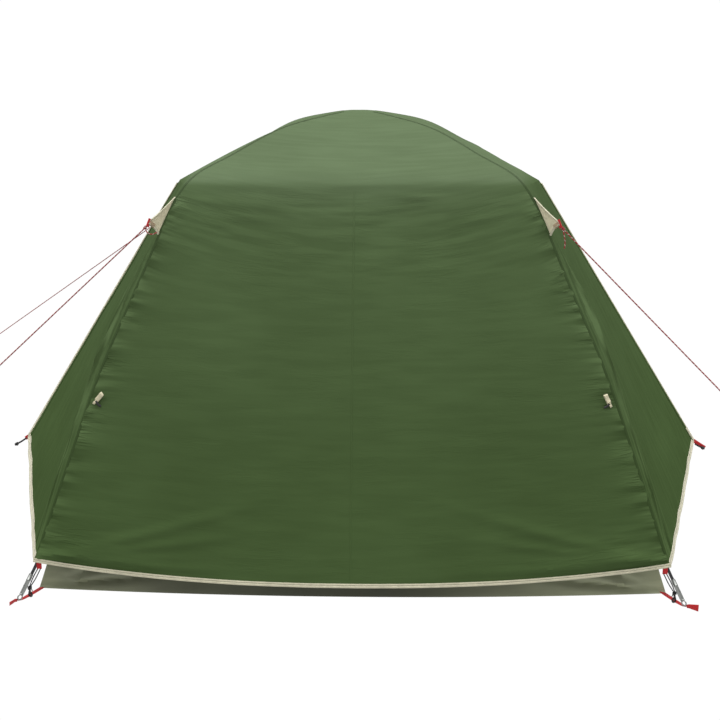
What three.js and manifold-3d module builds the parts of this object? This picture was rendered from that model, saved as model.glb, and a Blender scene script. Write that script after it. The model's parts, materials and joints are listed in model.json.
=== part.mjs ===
// A four-person dome tent, pitched and pegged: two crossing main poles, a brow pole across the top,
// a hanging inner tent on a bathtub floor, and a rainfly whose two side vestibules each have a zipped door.
// Millimetres, +Z up. The origin is on the ground under the apex. X runs from vestibule tip to vestibule
// tip and Y from end wall to end wall, with the front wall at -Y.
import * as THREE from 'three';
import { mergeVertices } from 'three/addons/utils/BufferGeometryUtils.js';
import Module from 'manifold-3d';

const wasm = await Module();
wasm.setup();

// ---------------------------------------------------------------- driving dimensions
const APEX_HEIGHT = 1450;
const TIP = { reach: 1360, height: 135 };           // vestibule tip, where the ridge zip ends
const BROW = { reach: 696, height: 1184, bend: 350 };   // end of the brow pole, top of the ridge zip
const FOOT = { x: 1018, y: 1262 };                  // where a main pole stands
const HEM_MIDDLE = { y: 1255, height: 50 };         // lowest point of the front and back hems

// Outline of the fly's crease over one main pole: [distance from the centre, height].
const KNEE = [907, 1235];
const ROOF_CREASE = [[0, APEX_HEIGHT], [230, 1430], [450, 1393], [680, 1317], KNEE];
const LEG_CREASE = [KNEE, [1110, 932], [1275, 680], [1420, 408], [1569, 113]];

const POLE_RADIUS = 4.75;
const POLE_DEPTH = 14;                              // fly crease down to the pole's centreline
const POLE_SPACING = 11.5;                          // between centrelines where poles cross at the apex
const ELBOW = { arm: 60, outer: 6.5, inner: 5.2, grip: 32 };
const FOOT_TUBE = { length: 70, outer: 6.5, inner: 5.2, grip: 16, lift: 20, ring: 8, wire: 2 };
const STRAIGHT_END = 106;                           // how far up from its ring a leg is straight

const CLOTH = 1.6;                                  // thickness of every cloth sheet
const SEAM_GAP = 0.006;                             // share by which each sheet is drawn in from its seams

const TRAY = { x: 972, y: 1150, bow: 46, wall: 115, lean: 8, thickness: 2 };
const INNER = { x: 952, y: 1126, foot: 124, shoulder: [880, 1128], apex: 1378, roofGap: 9 };
const DOORWAY = { halfWidth: 560, sill: 60, height: 880 };

const WEBBING = { width: 24, thickness: 1.8 };
const GUY = { radius: 2.1, tabInner: 4, tabOuter: [1052, 1120], start: [1057, 1111] };
const PEGS = {
  front_left: [-1860, -1100],
  front_right: [1770, -1270],
  back_left: [-2270, 1280],
  back_right: [1460, 1265],
};
const TENSIONER = { length: 36, width: 15, height: 10, hole: 3, place: 0.8 };
const SLIDER = { length: 30, width: 9, thickness: 3, rise: 70, lift: 5, side: 14 };

const CORNERS = [
  { name: 'front_left', x: -1, y: -1 },
  { name: 'front_right', x: 1, y: -1 },
  { name: 'back_left', x: -1, y: 1 },
  { name: 'back_right', x: 1, y: 1 },
];
const SIDES = [{ name: 'left', x: -1 }, { name: 'right', x: 1 }];
const ENDS = [{ name: 'front', y: -1 }, { name: 'back', y: 1 }];

// ---------------------------------------------------------------- materials
const material = (color, roughness, metalness = 0) =>
  new THREE.MeshStandardMaterial({ color, roughness, metalness });
const FLY_GREEN = material(0x465c36, 0.7);
const ROOF_GREEN = material(0x708864, 0.65);
const INNER_BEIGE = material(0xc8c3a5, 0.85);
const FLOOR_GREY = material(0x5f6455, 0.6);
const RED = material(0xb42323, 0.8);
const TAPE_BEIGE = material(0xc4bd9c, 0.8);
const BLACK = material(0x141414, 0.45);
const STEEL = material(0xb8babc, 0.3, 1);

// ---------------------------------------------------------------- points in space
const v = (x, y, z) => new THREE.Vector3(x, y, z);
const footDistance = Math.hypot(FOOT.x, FOOT.y);
const along = { x: FOOT.x / footDistance, y: FOOT.y / footDistance };

// A point in the upright plane of the main pole that stands at a corner.
const diagonal = (corner, [run, height]) => v(corner.x * along.x * run, corner.y * along.y * run, height);

// An outline in that plane, moved inwards and down at right angles to itself.
function offsetOutline(outline, depth) {
  return outline.map((point, i) => {
    const before = outline[Math.max(i - 1, 0)];
    const after = outline[Math.min(i + 1, outline.length - 1)];
    const run = after[0] - before[0];
    const rise = after[1] - before[1];
    const length = Math.hypot(run, rise);
    return [point[0] + depth * rise / length, point[1] - depth * run / length];
  });
}

// A point a given distance along the straight line from one outline point to another.
function towards(from, to, distance) {
  const share = distance / Math.hypot(to[0] - from[0], to[1] - from[1]);
  return [from[0] + (to[0] - from[0]) * share, from[1] + (to[1] - from[1]) * share];
}

// The brow pole's arc, given its two ends and its top: bent in the middle and nearly straight to its ends.
function browArc(drop, share) {
  const reach = BROW.reach - drop / 2;
  const fall = (x) => Math.hypot(x, BROW.bend) - BROW.bend;
  const x = reach * share;
  return v(x, 0, APEX_HEIGHT - drop - (APEX_HEIGHT - BROW.height) * fall(x) / fall(reach));
}

// ---------------------------------------------------------------- solids
function polygon(radius, sides) {
  const points = [];
  for (let i = 0; i < sides; i++) {
    const angle = (i + 0.5) * 2 * Math.PI / sides;
    points.push(new THREE.Vector2(radius * Math.cos(angle), radius * Math.sin(angle)));
  }
  return points;
}

// A rod, or a tube when a bore is given, swept along a smooth curve through the points.
function rod(points, radius, { bore = 0, sides = 8, steps = 8 } = {}) {
  const section = new THREE.Shape(polygon(radius, sides));
  if (bore > 0) section.holes.push(new THREE.Path(polygon(bore / Math.cos(Math.PI / sides), sides)));
  const path = new THREE.CatmullRomCurve3(points, false, 'centripetal');
  return new THREE.ExtrudeGeometry(section, { steps, extrudePath: path });
}

// A plate of the given outline, extruded along +Z and centred on Z = 0.
function plate(outline, thickness, hole = null) {
  const shape = new THREE.Shape(outline.map(([x, y]) => new THREE.Vector2(x, y)));
  if (hole) shape.holes.push(new THREE.Path(hole.map(([x, y]) => new THREE.Vector2(x, y))));
  const geometry = new THREE.ExtrudeGeometry(shape, { depth: thickness, bevelEnabled: false });
  return geometry.translate(0, 0, -thickness / 2);
}

const rectangle = (width, height) => [
  [-width / 2, -height / 2], [width / 2, -height / 2], [width / 2, height / 2], [-width / 2, height / 2],
];

// Moves a shape from its own axes to an origin with the given X and Y directions.
function place(geometry, origin, xAxis, yAxis) {
  const x = xAxis.clone().normalize();
  const z = x.clone().cross(yAxis).normalize();
  const y = z.clone().cross(x);
  return geometry.applyMatrix4(new THREE.Matrix4().makeBasis(x, y, z).setPosition(origin));
}

// A thin closed solid around an open surface, given as rows of points that are joined row to row.
// Points that coincide are one point, so a row may start or end in the same place as its neighbour.
function sheet(rows, { thickness = CLOTH, gap = SEAM_GAP } = {}) {
  const points = [];
  const index = (p) => {
    const found = points.findIndex((q) => q.distanceTo(p) < 0.01);
    return found >= 0 ? found : points.push(p.clone()) - 1;
  };
  const faces = [];
  for (let r = 0; r + 1 < rows.length; r++) {
    for (let c = 0; c + 1 < rows[r].length; c++) {
      const [a, b, d, e] = [rows[r][c], rows[r][c + 1], rows[r + 1][c], rows[r + 1][c + 1]].map(index);
      for (const face of [[a, b, e], [a, e, d]]) {
        if (new Set(face).size === 3) faces.push(face);
      }
    }
  }
  const middle = points.reduce((sum, p) => sum.add(p), v(0, 0, 0)).divideScalar(points.length);
  points.forEach((p) => p.lerp(middle, gap));
  return thicken(points, faces, thickness);
}

// Two copies of a surface, half the thickness to each side, closed around the edge.
function thicken(points, faces, thickness) {
  const normals = points.map(() => v(0, 0, 0));
  const edges = new Map();
  for (const face of faces) {
    const [a, b, c] = face.map((i) => points[i]);
    const normal = b.clone().sub(a).cross(c.clone().sub(a));
    face.forEach((i, k) => {
      normals[i].add(normal);
      edges.set(`${i},${face[(k + 1) % 3]}`, [i, face[(k + 1) % 3]]);
    });
  }
  const shifted = (i, side) => points[i].clone().addScaledVector(normals[i].clone().normalize(), side);
  const count = points.length;
  const vertices = [];
  for (const side of [thickness / 2, -thickness / 2]) {
    for (let i = 0; i < count; i++) vertices.push(...shifted(i, side).toArray());
  }
  const triangles = [];
  for (const [a, b, c] of faces) triangles.push(a, b, c, count + a, count + c, count + b);
  for (const [a, b] of edges.values()) {
    if (!edges.has(`${b},${a}`)) triangles.push(a, count + a, count + b, a, count + b, b);
  }
  const geometry = new THREE.BufferGeometry();
  geometry.setAttribute('position', new THREE.Float32BufferAttribute(vertices, 3));
  geometry.setIndex(triangles);
  return geometry;
}

// One solid made of two overlapping ones.
function join(first, second) {
  const solids = [first, second].map((geometry) => {
    const bare = geometry.clone();
    bare.deleteAttribute('normal');
    bare.deleteAttribute('uv');
    const merged = mergeVertices(bare, 1e-4);
    return new wasm.Manifold(new wasm.Mesh({
      numProp: 3,
      vertProperties: new Float32Array(merged.attributes.position.array),
      triVerts: new Uint32Array(merged.index.array),
    }));
  });
  const mesh = solids[0].add(solids[1]).getMesh();
  const joined = new THREE.BufferGeometry();
  joined.setAttribute('position', new THREE.BufferAttribute(mesh.vertProperties, 3));
  joined.setIndex(new THREE.BufferAttribute(mesh.triVerts, 1));
  return joined;
}

const tent = new THREE.Group();
function add(name, geometry, finish) {
  const mesh = new THREE.Mesh(geometry, finish);
  mesh.name = name;
  tent.add(mesh);
}

// ---------------------------------------------------------------- main poles
const roofLine = offsetOutline(ROOF_CREASE, POLE_DEPTH);
const legLine = offsetOutline(LEG_CREASE, POLE_DEPTH);
const elbowCorner = [KNEE[0] - 10, KNEE[1] - 11];
const roofEnd = towards(elbowCorner, roofLine[3], ELBOW.arm - ELBOW.grip);
const legStart = towards(elbowCorner, legLine[1], ELBOW.arm - ELBOW.grip);
const footPoint = [footDistance, FOOT_TUBE.lift];
const legEnd = towards(footPoint, legLine[4], FOOT_TUBE.length - FOOT_TUBE.grip);

// A roof section runs from elbow to elbow, over or under its twin at the apex.
function roofSection(corner, crossing) {
  const opposite = { x: -corner.x, y: -corner.y };
  const straight = towards(elbowCorner, roofLine[3], 110);
  const half = [roofEnd, straight, roofLine[3], roofLine[2], roofLine[1]];
  const points = [
    ...half.map((p) => diagonal(corner, p)),
    v(0, 0, APEX_HEIGHT - POLE_DEPTH - crossing * POLE_SPACING),
    ...half.reverse().map((p) => diagonal(opposite, p)),
  ];
  return rod(points, POLE_RADIUS, { steps: 28 });
}

function leg(corner) {
  const bend = towards(elbowCorner, legLine[1], 110);
  const straight = towards(footPoint, legLine[4], STRAIGHT_END);
  const line = [legStart, bend, legLine[1], legLine[2], legLine[3], straight, legEnd];
  return rod(line.map((p) => diagonal(corner, p)), POLE_RADIUS, { steps: 24 });
}

// The pre-bent tube at the knee, open at both ends, with a pole end in each arm.
function elbow(corner) {
  const bend = ELBOW.arm * 0.35;
  const line = [
    towards(elbowCorner, roofLine[3], ELBOW.arm),
    towards(elbowCorner, roofLine[3], bend + 2),
    towards(elbowCorner, roofLine[3], bend),
    towards(elbowCorner, legLine[1], bend),
    towards(elbowCorner, legLine[1], bend + 2),
    towards(elbowCorner, legLine[1], ELBOW.arm),
  ];
  return rod(line.map((p) => diagonal(corner, p)), ELBOW.outer, { bore: ELBOW.inner, steps: 12 });
}

// A steel socket for the end of the pole, closed below, with a ring for the corner strap.
function foot(corner) {
  const { length, outer, inner, grip, ring, wire } = FOOT_TUBE;
  const profile = [
    [0, 0], [outer, 0], [outer, length], [inner, length], [inner, length - grip - 1], [0, length - grip - 1],
  ].map(([x, y]) => new THREE.Vector2(x, y));
  const socket = new THREE.LatheGeometry(profile, 12).rotateX(Math.PI / 2);
  const eye = new THREE.TorusGeometry(ring, wire, 6, 14).rotateY(Math.PI / 2).translate(0, 0, -ring + 1);
  const base = diagonal(corner, footPoint);
  const up = diagonal(corner, legLine[4]).sub(base);
  const across = v(corner.y * along.y, -corner.x * along.x, 0);
  return place(join(socket, eye), base, across, up.clone().cross(across));
}

CORNERS.slice(0, 2).forEach((corner, crossing) => {
  add(`main_pole_roof_${crossing + 1}`, roofSection(corner, crossing + 1), BLACK);
});
for (const corner of CORNERS) {
  add(`main_pole_leg_${corner.name}`, leg(corner), BLACK);
  add(`knee_elbow_${corner.name}`, elbow(corner), STEEL);
  add(`pole_foot_${corner.name}`, foot(corner), STEEL);
}

// ---------------------------------------------------------------- brow pole and apex clip
const browStations = [-1, -0.75, -0.5, -0.25, 0, 0.25, 0.5, 0.75, 1];
const browPoints = browStations.map((share) => browArc(POLE_DEPTH, share * 0.985));
add('brow_pole', rod(browPoints, POLE_RADIUS, { steps: 20 }), BLACK);

const clipTop = APEX_HEIGHT - POLE_DEPTH - 2 * POLE_SPACING - POLE_RADIUS - 1;
const clipProfile = [[0, -12], [9, -12], [12, -6], [30, -5], [32, -2], [30, 0], [0, 0]];
const clip = new THREE.LatheGeometry(clipProfile.map(([x, y]) => new THREE.Vector2(x, y)), 16);
add('apex_clip', clip.rotateX(Math.PI / 2).translate(0, 0, clipTop), BLACK);

// ---------------------------------------------------------------- rainfly
const apex = v(0, 0, APEX_HEIGHT);
const creaseRow = (corner, outline) => outline.map((p) => diagonal(corner, p));
const tipPoint = (side) => v(side.x * TIP.reach, 0, TIP.height);
const browEnd = (side) => v(side.x * BROW.reach, 0, BROW.height);
const browRow = (side) => [0, 0.25, 0.5, 0.75, 1].map((share) => browArc(0, side.x * share));

for (const end of ENDS) {
  const [left, right] = [{ x: -1, y: end.y }, { x: 1, y: end.y }];
  add(`fly_roof_${end.name}`, sheet([creaseRow(left, ROOF_CREASE), creaseRow(right, ROOF_CREASE)]), ROOF_GREEN);

  const middle = LEG_CREASE.map(([run, height], i) => {
    const share = i / (LEG_CREASE.length - 1);
    const y = along.y * run + share * (HEM_MIDDLE.y - along.y * run);
    return v(0, end.y * y, height + share * (HEM_MIDDLE.height - height));
  });
  const wall = sheet([creaseRow(left, LEG_CREASE), middle, creaseRow(right, LEG_CREASE)]);
  add(`fly_wall_${end.name}`, wall, FLY_GREEN);
}

for (const side of SIDES) {
  const front = { x: side.x, y: -1 };
  const back = { x: side.x, y: 1 };
  const hemCorner = diagonal(front, LEG_CREASE[4]);
  const browEnds = LEG_CREASE.slice(1, 4).map(() => browEnd(side));

  // The side roof, with the part of the front gore that stays put when the door folds back.
  const wholeCrease = [...ROOF_CREASE, ...LEG_CREASE.slice(1)];
  add(`fly_side_${side.name}`, sheet([
    creaseRow(front, wholeCrease),
    [...browRow(side), ...browEnds, hemCorner],
    [...creaseRow(back, ROOF_CREASE), ...browEnds, hemCorner],
  ]), ROOF_GREEN);

  // The back gore of the vestibule.
  const ridge = LEG_CREASE.map((_, i) => browEnd(side).lerp(tipPoint(side), i / (LEG_CREASE.length - 1)));
  add(`vestibule_gore_${side.name}`, sheet([creaseRow(back, LEG_CREASE), ridge], { gap: 0.012 }), FLY_GREEN);

  // The door: the free part of the front gore, between the ridge zip and its fold line.
  const door = [browEnd(side), hemCorner, tipPoint(side)];
  add(`vestibule_door_${side.name}`, sheet([[door[0], door[1]], [door[0], door[2]]], { gap: 0.03 }), FLY_GREEN);

  addZipSlider(side, back);
  addTipLoop(side);
}

// A zip slider with its pull, low on the ridge, on the half of the zip that stays put.
function addZipSlider(side, back) {
  const upRidge = browEnd(side).sub(tipPoint(side)).normalize();
  const overGore = diagonal(back, LEG_CREASE[4]).sub(tipPoint(side));
  overGore.addScaledVector(upRidge, -overGore.dot(upRidge)).normalize();
  const outward = overGore.clone().cross(upRidge).multiplyScalar(-side.x);
  const { length, width, thickness, rise, lift } = SLIDER;
  const outline = [
    [-length / 2, -width * 0.3], [-length / 4, -width / 2], [length / 2, -width / 2],
    [length / 2, width / 2], [-length / 4, width / 2], [-length / 2, width * 0.3],
  ];
  const eye = polygon(1.8, 6).map((p) => [p.x - length * 0.3, p.y]);
  const origin = tipPoint(side)
    .addScaledVector(upRidge, rise)
    .addScaledVector(overGore, SLIDER.side)
    .addScaledVector(outward, lift);
  add(`zip_slider_${side.name}`, place(plate(outline, thickness, eye), origin, upRidge, overGore), BLACK);
}

// A short elastic with a knot at its end, on a tab at the vestibule tip.
function addTipLoop(side) {
  const profile = [[0, 0], [2.5, 0], [2.5, 48], [5, 51], [6.5, 56], [5, 61], [0, 63]];
  const loop = new THREE.LatheGeometry(profile.map(([x, y]) => new THREE.Vector2(x, y)), 8);
  const outwards = v(side.x * 54, 0, -34);
  const origin = tipPoint(side).addScaledVector(outwards.clone().normalize(), 4);
  add(`tip_loop_${side.name}`, place(loop, origin, v(0, side.x, 0), outwards), RED);
}

// ---------------------------------------------------------------- inner tent
// The bathtub floor: a flat groundsheet with low walls, its long edges bowed slightly outwards.
function floorTray() {
  const { x, y, bow, wall, lean, thickness } = TRAY;
  const low = thickness / 2;
  const stations = [-1, -0.5, 0, 0.5, 1];
  const edge = (sign, inset, height) =>
    stations.map((s) => v(s * (x - inset), sign * (y - inset + bow * (1 - s * s)), height));
  const front = edge(-1, 0, low);
  const back = edge(1, 0, low);
  const frontTop = edge(-1, lean, wall);
  const backTop = edge(1, lean, wall);
  const faces = [];
  const points = [];
  const quad = (a, b, c, d) => {
    const at = points.length;
    points.push(a, b, c, d);
    faces.push([at, at + 1, at + 2], [at, at + 2, at + 3]);
  };
  const last = stations.length - 1;
  for (let i = 0; i < last; i++) {
    quad(front[i], front[i + 1], back[i + 1], back[i]);
    quad(front[i + 1], front[i], frontTop[i], frontTop[i + 1]);
    quad(back[i], back[i + 1], backTop[i + 1], backTop[i]);
  }
  quad(front[0], back[0], backTop[0], frontTop[0]);
  quad(back[last], front[last], frontTop[last], backTop[last]);
  return weld(points, faces, thickness);
}

// Thickens a surface given as separate triangles, after giving shared corners one number.
function weld(points, faces, thickness) {
  const unique = [];
  const renamed = points.map((p) => {
    const found = unique.findIndex((q) => q.distanceTo(p) < 0.01);
    return found >= 0 ? found : unique.push(p) - 1;
  });
  return thicken(unique, faces.map((face) => face.map((i) => renamed[i])), thickness);
}

add('floor_tray', floorTray(), FLOOR_GREY);

const innerShoulder = diagonal({ x: 1, y: 1 }, INNER.shoulder);
for (const end of ENDS) {
  const low = [-1, 1].map((sign) => v(sign * INNER.x, end.y * INNER.y, INNER.foot));
  const high = [-1, 1].map((sign) => v(sign * innerShoulder.x, end.y * innerShoulder.y, innerShoulder.z));
  add(`inner_wall_${end.name}`, sheet([low, high]), INNER_BEIGE);
}
for (const side of SIDES) {
  const base = v(side.x * INNER.x, 0, INNER.foot);
  const top = v(side.x * innerShoulder.x, 0, innerShoulder.z);
  const upWall = top.clone().sub(base);
  const height = upWall.length();
  const taper = 1 - SEAM_GAP;
  const outline = [
    [-INNER.y * taper, 0], [INNER.y * taper, 0],
    [innerShoulder.y * taper, height], [-innerShoulder.y * taper, height],
  ];
  const { halfWidth, sill } = DOORWAY;
  const arch = [[-halfWidth, sill], [halfWidth, sill]];
  for (let i = 0; i <= 8; i++) {
    const angle = i * Math.PI / 8;
    const spring = DOORWAY.height - halfWidth;
    arch.push([halfWidth * Math.cos(angle), spring + halfWidth * Math.sin(angle)]);
  }
  const wall = plate(outline, CLOTH, arch);
  add(`inner_wall_${side.name}`, place(wall, base, v(0, 1, 0), upWall), INNER_BEIGE);
}
const innerCorner = (x, y) => v(x * innerShoulder.x, y * innerShoulder.y, innerShoulder.z + INNER.roofGap);
const innerApex = v(0, 0, INNER.apex);
const innerRim = [innerCorner(-1, -1), innerCorner(1, -1), innerCorner(1, 1), innerCorner(-1, 1), innerCorner(-1, -1)];
add('inner_roof', sheet([innerRim, innerRim.map(() => innerApex)]), INNER_BEIGE);

// ---------------------------------------------------------------- corner straps and fly hooks
for (const corner of CORNERS) {
  const inside = v(corner.x * (TRAY.x + 5), corner.y * (TRAY.y + 8), WEBBING.thickness / 2);
  const outside = v(corner.x * (FOOT.x + 23), corner.y * (FOOT.y + 36), WEBBING.thickness / 2);
  const run = outside.clone().sub(inside);
  const strap = plate(rectangle(run.length(), WEBBING.width), WEBBING.thickness);
  const centre = inside.clone().lerp(outside, 0.5).add(v(0, 0, 0.05));
  add(`corner_strap_${corner.name}`, place(strap, centre, run, v(-run.y, run.x, 0)), RED);

  // The elastic from the fly's corner, with the hook that catches the strap.
  const top = diagonal(corner, [1562, 102]).add(v(-corner.x * 26, corner.y * 4, 0));
  const bottom = inside.clone().lerp(outside, 0.52).add(v(-corner.x * 20, 0, 7));
  const elastic = [top, top.clone().lerp(bottom, 0.5), bottom.clone().add(v(0, 0, 24)), bottom];
  add(`corner_hook_${corner.name}`, rod(elastic, 3.5, { sides: 6, steps: 6 }), BLACK);
}

// ---------------------------------------------------------------- guy-out tabs, guy lines and pegs
// A triangle of doubled cloth that stands out from the crease below the knee.
function guyTab(corner) {
  const [first, second] = [towards(KNEE, LEG_CREASE[1], 52), towards(KNEE, LEG_CREASE[1], 194)];
  const lean = offsetOutline([first, second], -GUY.tabInner);
  const outline = [lean[0], GUY.tabOuter, lean[1]];
  const outward = v(corner.x * along.x, corner.y * along.y, 0);
  return place(plate(outline, CLOTH), v(0, 0, 0), outward, v(0, 0, 1));
}

// The steel peg above the ground: a short shaft, leaning away from the tent, with a hooked head.
function peg([x, y]) {
  const distance = Math.hypot(x, y);
  const side = [[0, 0], [0, 5], [5, 24], [9, 40], [16, 50], [26, 50], [31, 42], [31, 34]];
  const points = side.map(([out, up]) => v(x + out * x / distance, y + out * y / distance, up));
  return rod(points, 2.6, { steps: 14 });
}

for (const corner of CORNERS) {
  add(`guy_tab_${corner.name}`, guyTab(corner), TAPE_BEIGE);

  const [x, y] = PEGS[corner.name];
  add(`peg_${corner.name}`, peg([x, y]), STEEL);

  const start = diagonal(corner, GUY.start);
  const inward = v(-x, -y, 0).normalize();
  const finish = v(x, y, 14).addScaledVector(inward, 9);
  const line = finish.clone().sub(start);
  const stations = [0, 0.25, 0.5, 0.75, 1].map((share) => start.clone().addScaledVector(line, share));
  add(`guy_line_${corner.name}`, rod(stations, GUY.radius, { steps: 24 }), RED);

  const { length, width, height, hole } = TENSIONER;
  const block = plate(rectangle(width, height), length, polygon(hole, 6).map((p) => [p.x, p.y]));
  const across = v(line.y, -line.x, 0);
  const middle = start.clone().addScaledVector(line, TENSIONER.place);
  add(`tensioner_${corner.name}`, place(block, middle, across, line.clone().cross(across)), BLACK);
}

export default tent;
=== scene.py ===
# A pitched four-person dome tent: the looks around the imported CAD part. Metres, +Z up, front wall at -Y.
import json
import math

import bpy
import numpy as np
from mathutils import Vector, noise
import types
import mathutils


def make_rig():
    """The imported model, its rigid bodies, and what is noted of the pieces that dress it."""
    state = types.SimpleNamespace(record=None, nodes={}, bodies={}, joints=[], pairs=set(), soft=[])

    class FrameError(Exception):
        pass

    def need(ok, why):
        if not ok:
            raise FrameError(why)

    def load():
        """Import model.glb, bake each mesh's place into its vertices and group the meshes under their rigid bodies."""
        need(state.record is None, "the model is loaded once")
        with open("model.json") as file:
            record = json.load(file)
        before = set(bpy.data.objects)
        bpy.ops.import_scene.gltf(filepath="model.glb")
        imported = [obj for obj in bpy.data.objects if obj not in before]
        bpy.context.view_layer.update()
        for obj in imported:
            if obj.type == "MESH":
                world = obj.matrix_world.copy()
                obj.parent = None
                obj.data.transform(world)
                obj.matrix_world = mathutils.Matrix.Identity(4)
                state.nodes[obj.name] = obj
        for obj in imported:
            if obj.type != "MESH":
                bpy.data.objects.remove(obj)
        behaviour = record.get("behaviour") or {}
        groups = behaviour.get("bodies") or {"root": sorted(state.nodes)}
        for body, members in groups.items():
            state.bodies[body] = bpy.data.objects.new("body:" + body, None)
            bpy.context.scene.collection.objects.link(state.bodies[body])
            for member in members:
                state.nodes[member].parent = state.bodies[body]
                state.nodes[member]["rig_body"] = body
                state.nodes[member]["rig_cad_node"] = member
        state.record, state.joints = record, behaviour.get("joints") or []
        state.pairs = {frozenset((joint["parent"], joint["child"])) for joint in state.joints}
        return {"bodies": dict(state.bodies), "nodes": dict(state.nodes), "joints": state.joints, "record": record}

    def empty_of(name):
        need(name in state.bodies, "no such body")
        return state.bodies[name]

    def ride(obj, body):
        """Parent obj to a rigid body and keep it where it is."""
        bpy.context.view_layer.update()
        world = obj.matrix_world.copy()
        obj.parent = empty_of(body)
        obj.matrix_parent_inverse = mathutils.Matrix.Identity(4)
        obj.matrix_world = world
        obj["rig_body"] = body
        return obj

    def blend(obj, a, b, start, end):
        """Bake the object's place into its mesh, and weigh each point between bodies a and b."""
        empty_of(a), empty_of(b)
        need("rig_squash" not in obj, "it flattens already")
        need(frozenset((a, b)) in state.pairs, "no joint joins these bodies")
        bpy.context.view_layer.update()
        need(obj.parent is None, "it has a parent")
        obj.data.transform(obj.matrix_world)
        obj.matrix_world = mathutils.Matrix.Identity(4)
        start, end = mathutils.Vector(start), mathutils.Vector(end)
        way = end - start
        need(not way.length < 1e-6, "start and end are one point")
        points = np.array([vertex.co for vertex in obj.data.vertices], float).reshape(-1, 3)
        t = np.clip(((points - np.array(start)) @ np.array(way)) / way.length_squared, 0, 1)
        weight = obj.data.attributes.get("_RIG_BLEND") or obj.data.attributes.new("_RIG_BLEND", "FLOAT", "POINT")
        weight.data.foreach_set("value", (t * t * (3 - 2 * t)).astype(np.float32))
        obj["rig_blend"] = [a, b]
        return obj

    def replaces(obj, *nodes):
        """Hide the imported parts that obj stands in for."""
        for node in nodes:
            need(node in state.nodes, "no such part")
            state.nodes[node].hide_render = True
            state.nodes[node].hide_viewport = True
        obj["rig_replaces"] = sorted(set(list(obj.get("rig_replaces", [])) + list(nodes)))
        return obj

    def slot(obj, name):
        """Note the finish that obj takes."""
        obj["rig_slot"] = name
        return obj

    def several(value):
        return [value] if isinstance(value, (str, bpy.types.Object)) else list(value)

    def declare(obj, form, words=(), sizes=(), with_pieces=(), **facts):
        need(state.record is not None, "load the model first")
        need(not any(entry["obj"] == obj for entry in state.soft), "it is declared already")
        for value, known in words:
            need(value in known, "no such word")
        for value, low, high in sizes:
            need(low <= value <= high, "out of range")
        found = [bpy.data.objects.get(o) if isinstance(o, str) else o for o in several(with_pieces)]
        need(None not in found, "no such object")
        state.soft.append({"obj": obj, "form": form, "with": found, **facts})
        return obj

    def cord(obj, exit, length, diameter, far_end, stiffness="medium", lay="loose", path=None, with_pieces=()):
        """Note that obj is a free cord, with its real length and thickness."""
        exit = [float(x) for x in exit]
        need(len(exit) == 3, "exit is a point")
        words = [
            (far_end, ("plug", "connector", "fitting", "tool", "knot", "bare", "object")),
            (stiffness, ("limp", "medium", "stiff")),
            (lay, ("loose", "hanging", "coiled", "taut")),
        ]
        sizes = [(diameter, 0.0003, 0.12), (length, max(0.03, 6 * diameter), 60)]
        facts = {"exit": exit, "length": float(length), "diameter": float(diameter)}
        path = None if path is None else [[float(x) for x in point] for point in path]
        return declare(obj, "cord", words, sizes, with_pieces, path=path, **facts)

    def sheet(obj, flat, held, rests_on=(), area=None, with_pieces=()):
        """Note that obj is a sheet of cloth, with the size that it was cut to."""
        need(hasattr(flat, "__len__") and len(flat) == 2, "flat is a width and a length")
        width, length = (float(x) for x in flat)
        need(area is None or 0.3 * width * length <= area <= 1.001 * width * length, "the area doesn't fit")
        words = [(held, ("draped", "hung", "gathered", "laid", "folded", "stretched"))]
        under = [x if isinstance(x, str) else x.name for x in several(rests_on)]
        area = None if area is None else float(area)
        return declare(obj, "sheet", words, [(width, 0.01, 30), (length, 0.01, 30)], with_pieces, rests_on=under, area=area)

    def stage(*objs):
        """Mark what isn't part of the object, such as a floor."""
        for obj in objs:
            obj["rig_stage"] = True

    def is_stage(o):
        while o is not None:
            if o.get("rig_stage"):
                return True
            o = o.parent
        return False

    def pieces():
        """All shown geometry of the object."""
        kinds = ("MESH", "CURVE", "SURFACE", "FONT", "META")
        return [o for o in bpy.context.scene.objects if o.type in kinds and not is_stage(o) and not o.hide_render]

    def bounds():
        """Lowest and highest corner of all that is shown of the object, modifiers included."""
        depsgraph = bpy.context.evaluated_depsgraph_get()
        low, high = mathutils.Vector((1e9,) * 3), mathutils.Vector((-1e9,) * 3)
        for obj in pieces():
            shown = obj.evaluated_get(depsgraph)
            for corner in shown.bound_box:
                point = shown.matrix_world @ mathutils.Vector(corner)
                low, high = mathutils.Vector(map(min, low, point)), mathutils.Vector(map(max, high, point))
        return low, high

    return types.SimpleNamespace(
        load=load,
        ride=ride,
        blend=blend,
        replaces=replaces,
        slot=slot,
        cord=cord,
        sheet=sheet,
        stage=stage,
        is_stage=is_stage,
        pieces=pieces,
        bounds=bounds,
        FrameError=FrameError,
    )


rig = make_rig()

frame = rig.load()
cad_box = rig.bounds()

# ---------------------------------------------------------------- driving dimensions, those of the CAD
APEX_HEIGHT = 1.450
TIP = (1.360, 0.135)                     # reach and height of a vestibule tip
BROW = (0.696, 1.184)                    # reach and height of a brow pole's end
BROW_BEND = 0.350                        # how widely its bend is spread out from its middle
FOOT = (1.018, 1.262)                    # where a main pole stands, in X and Y
HEM_MIDDLE = (1.255, 0.050)              # distance from the centre and height, middle of the front hem
KNEE = (0.907, 1.235)                    # an outline's points are (distance from the centre, height)
ROOF_CREASE = [(0.0, 1.450), (0.230, 1.430), (0.450, 1.393), (0.680, 1.317)]
KNEE_CREASE = [(0.865, 1.2515), (0.940, 1.186)]
LEG_CREASE = [(1.110, 0.932), (1.275, 0.680), (1.420, 0.408), (1.569, 0.113)]
POLE_RADIUS = 0.00475
POLE_DEPTH = 0.014                       # fly crease down to the pole's centreline
POLE_SPACING = 0.0115                    # between poles where they cross at the apex
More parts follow.
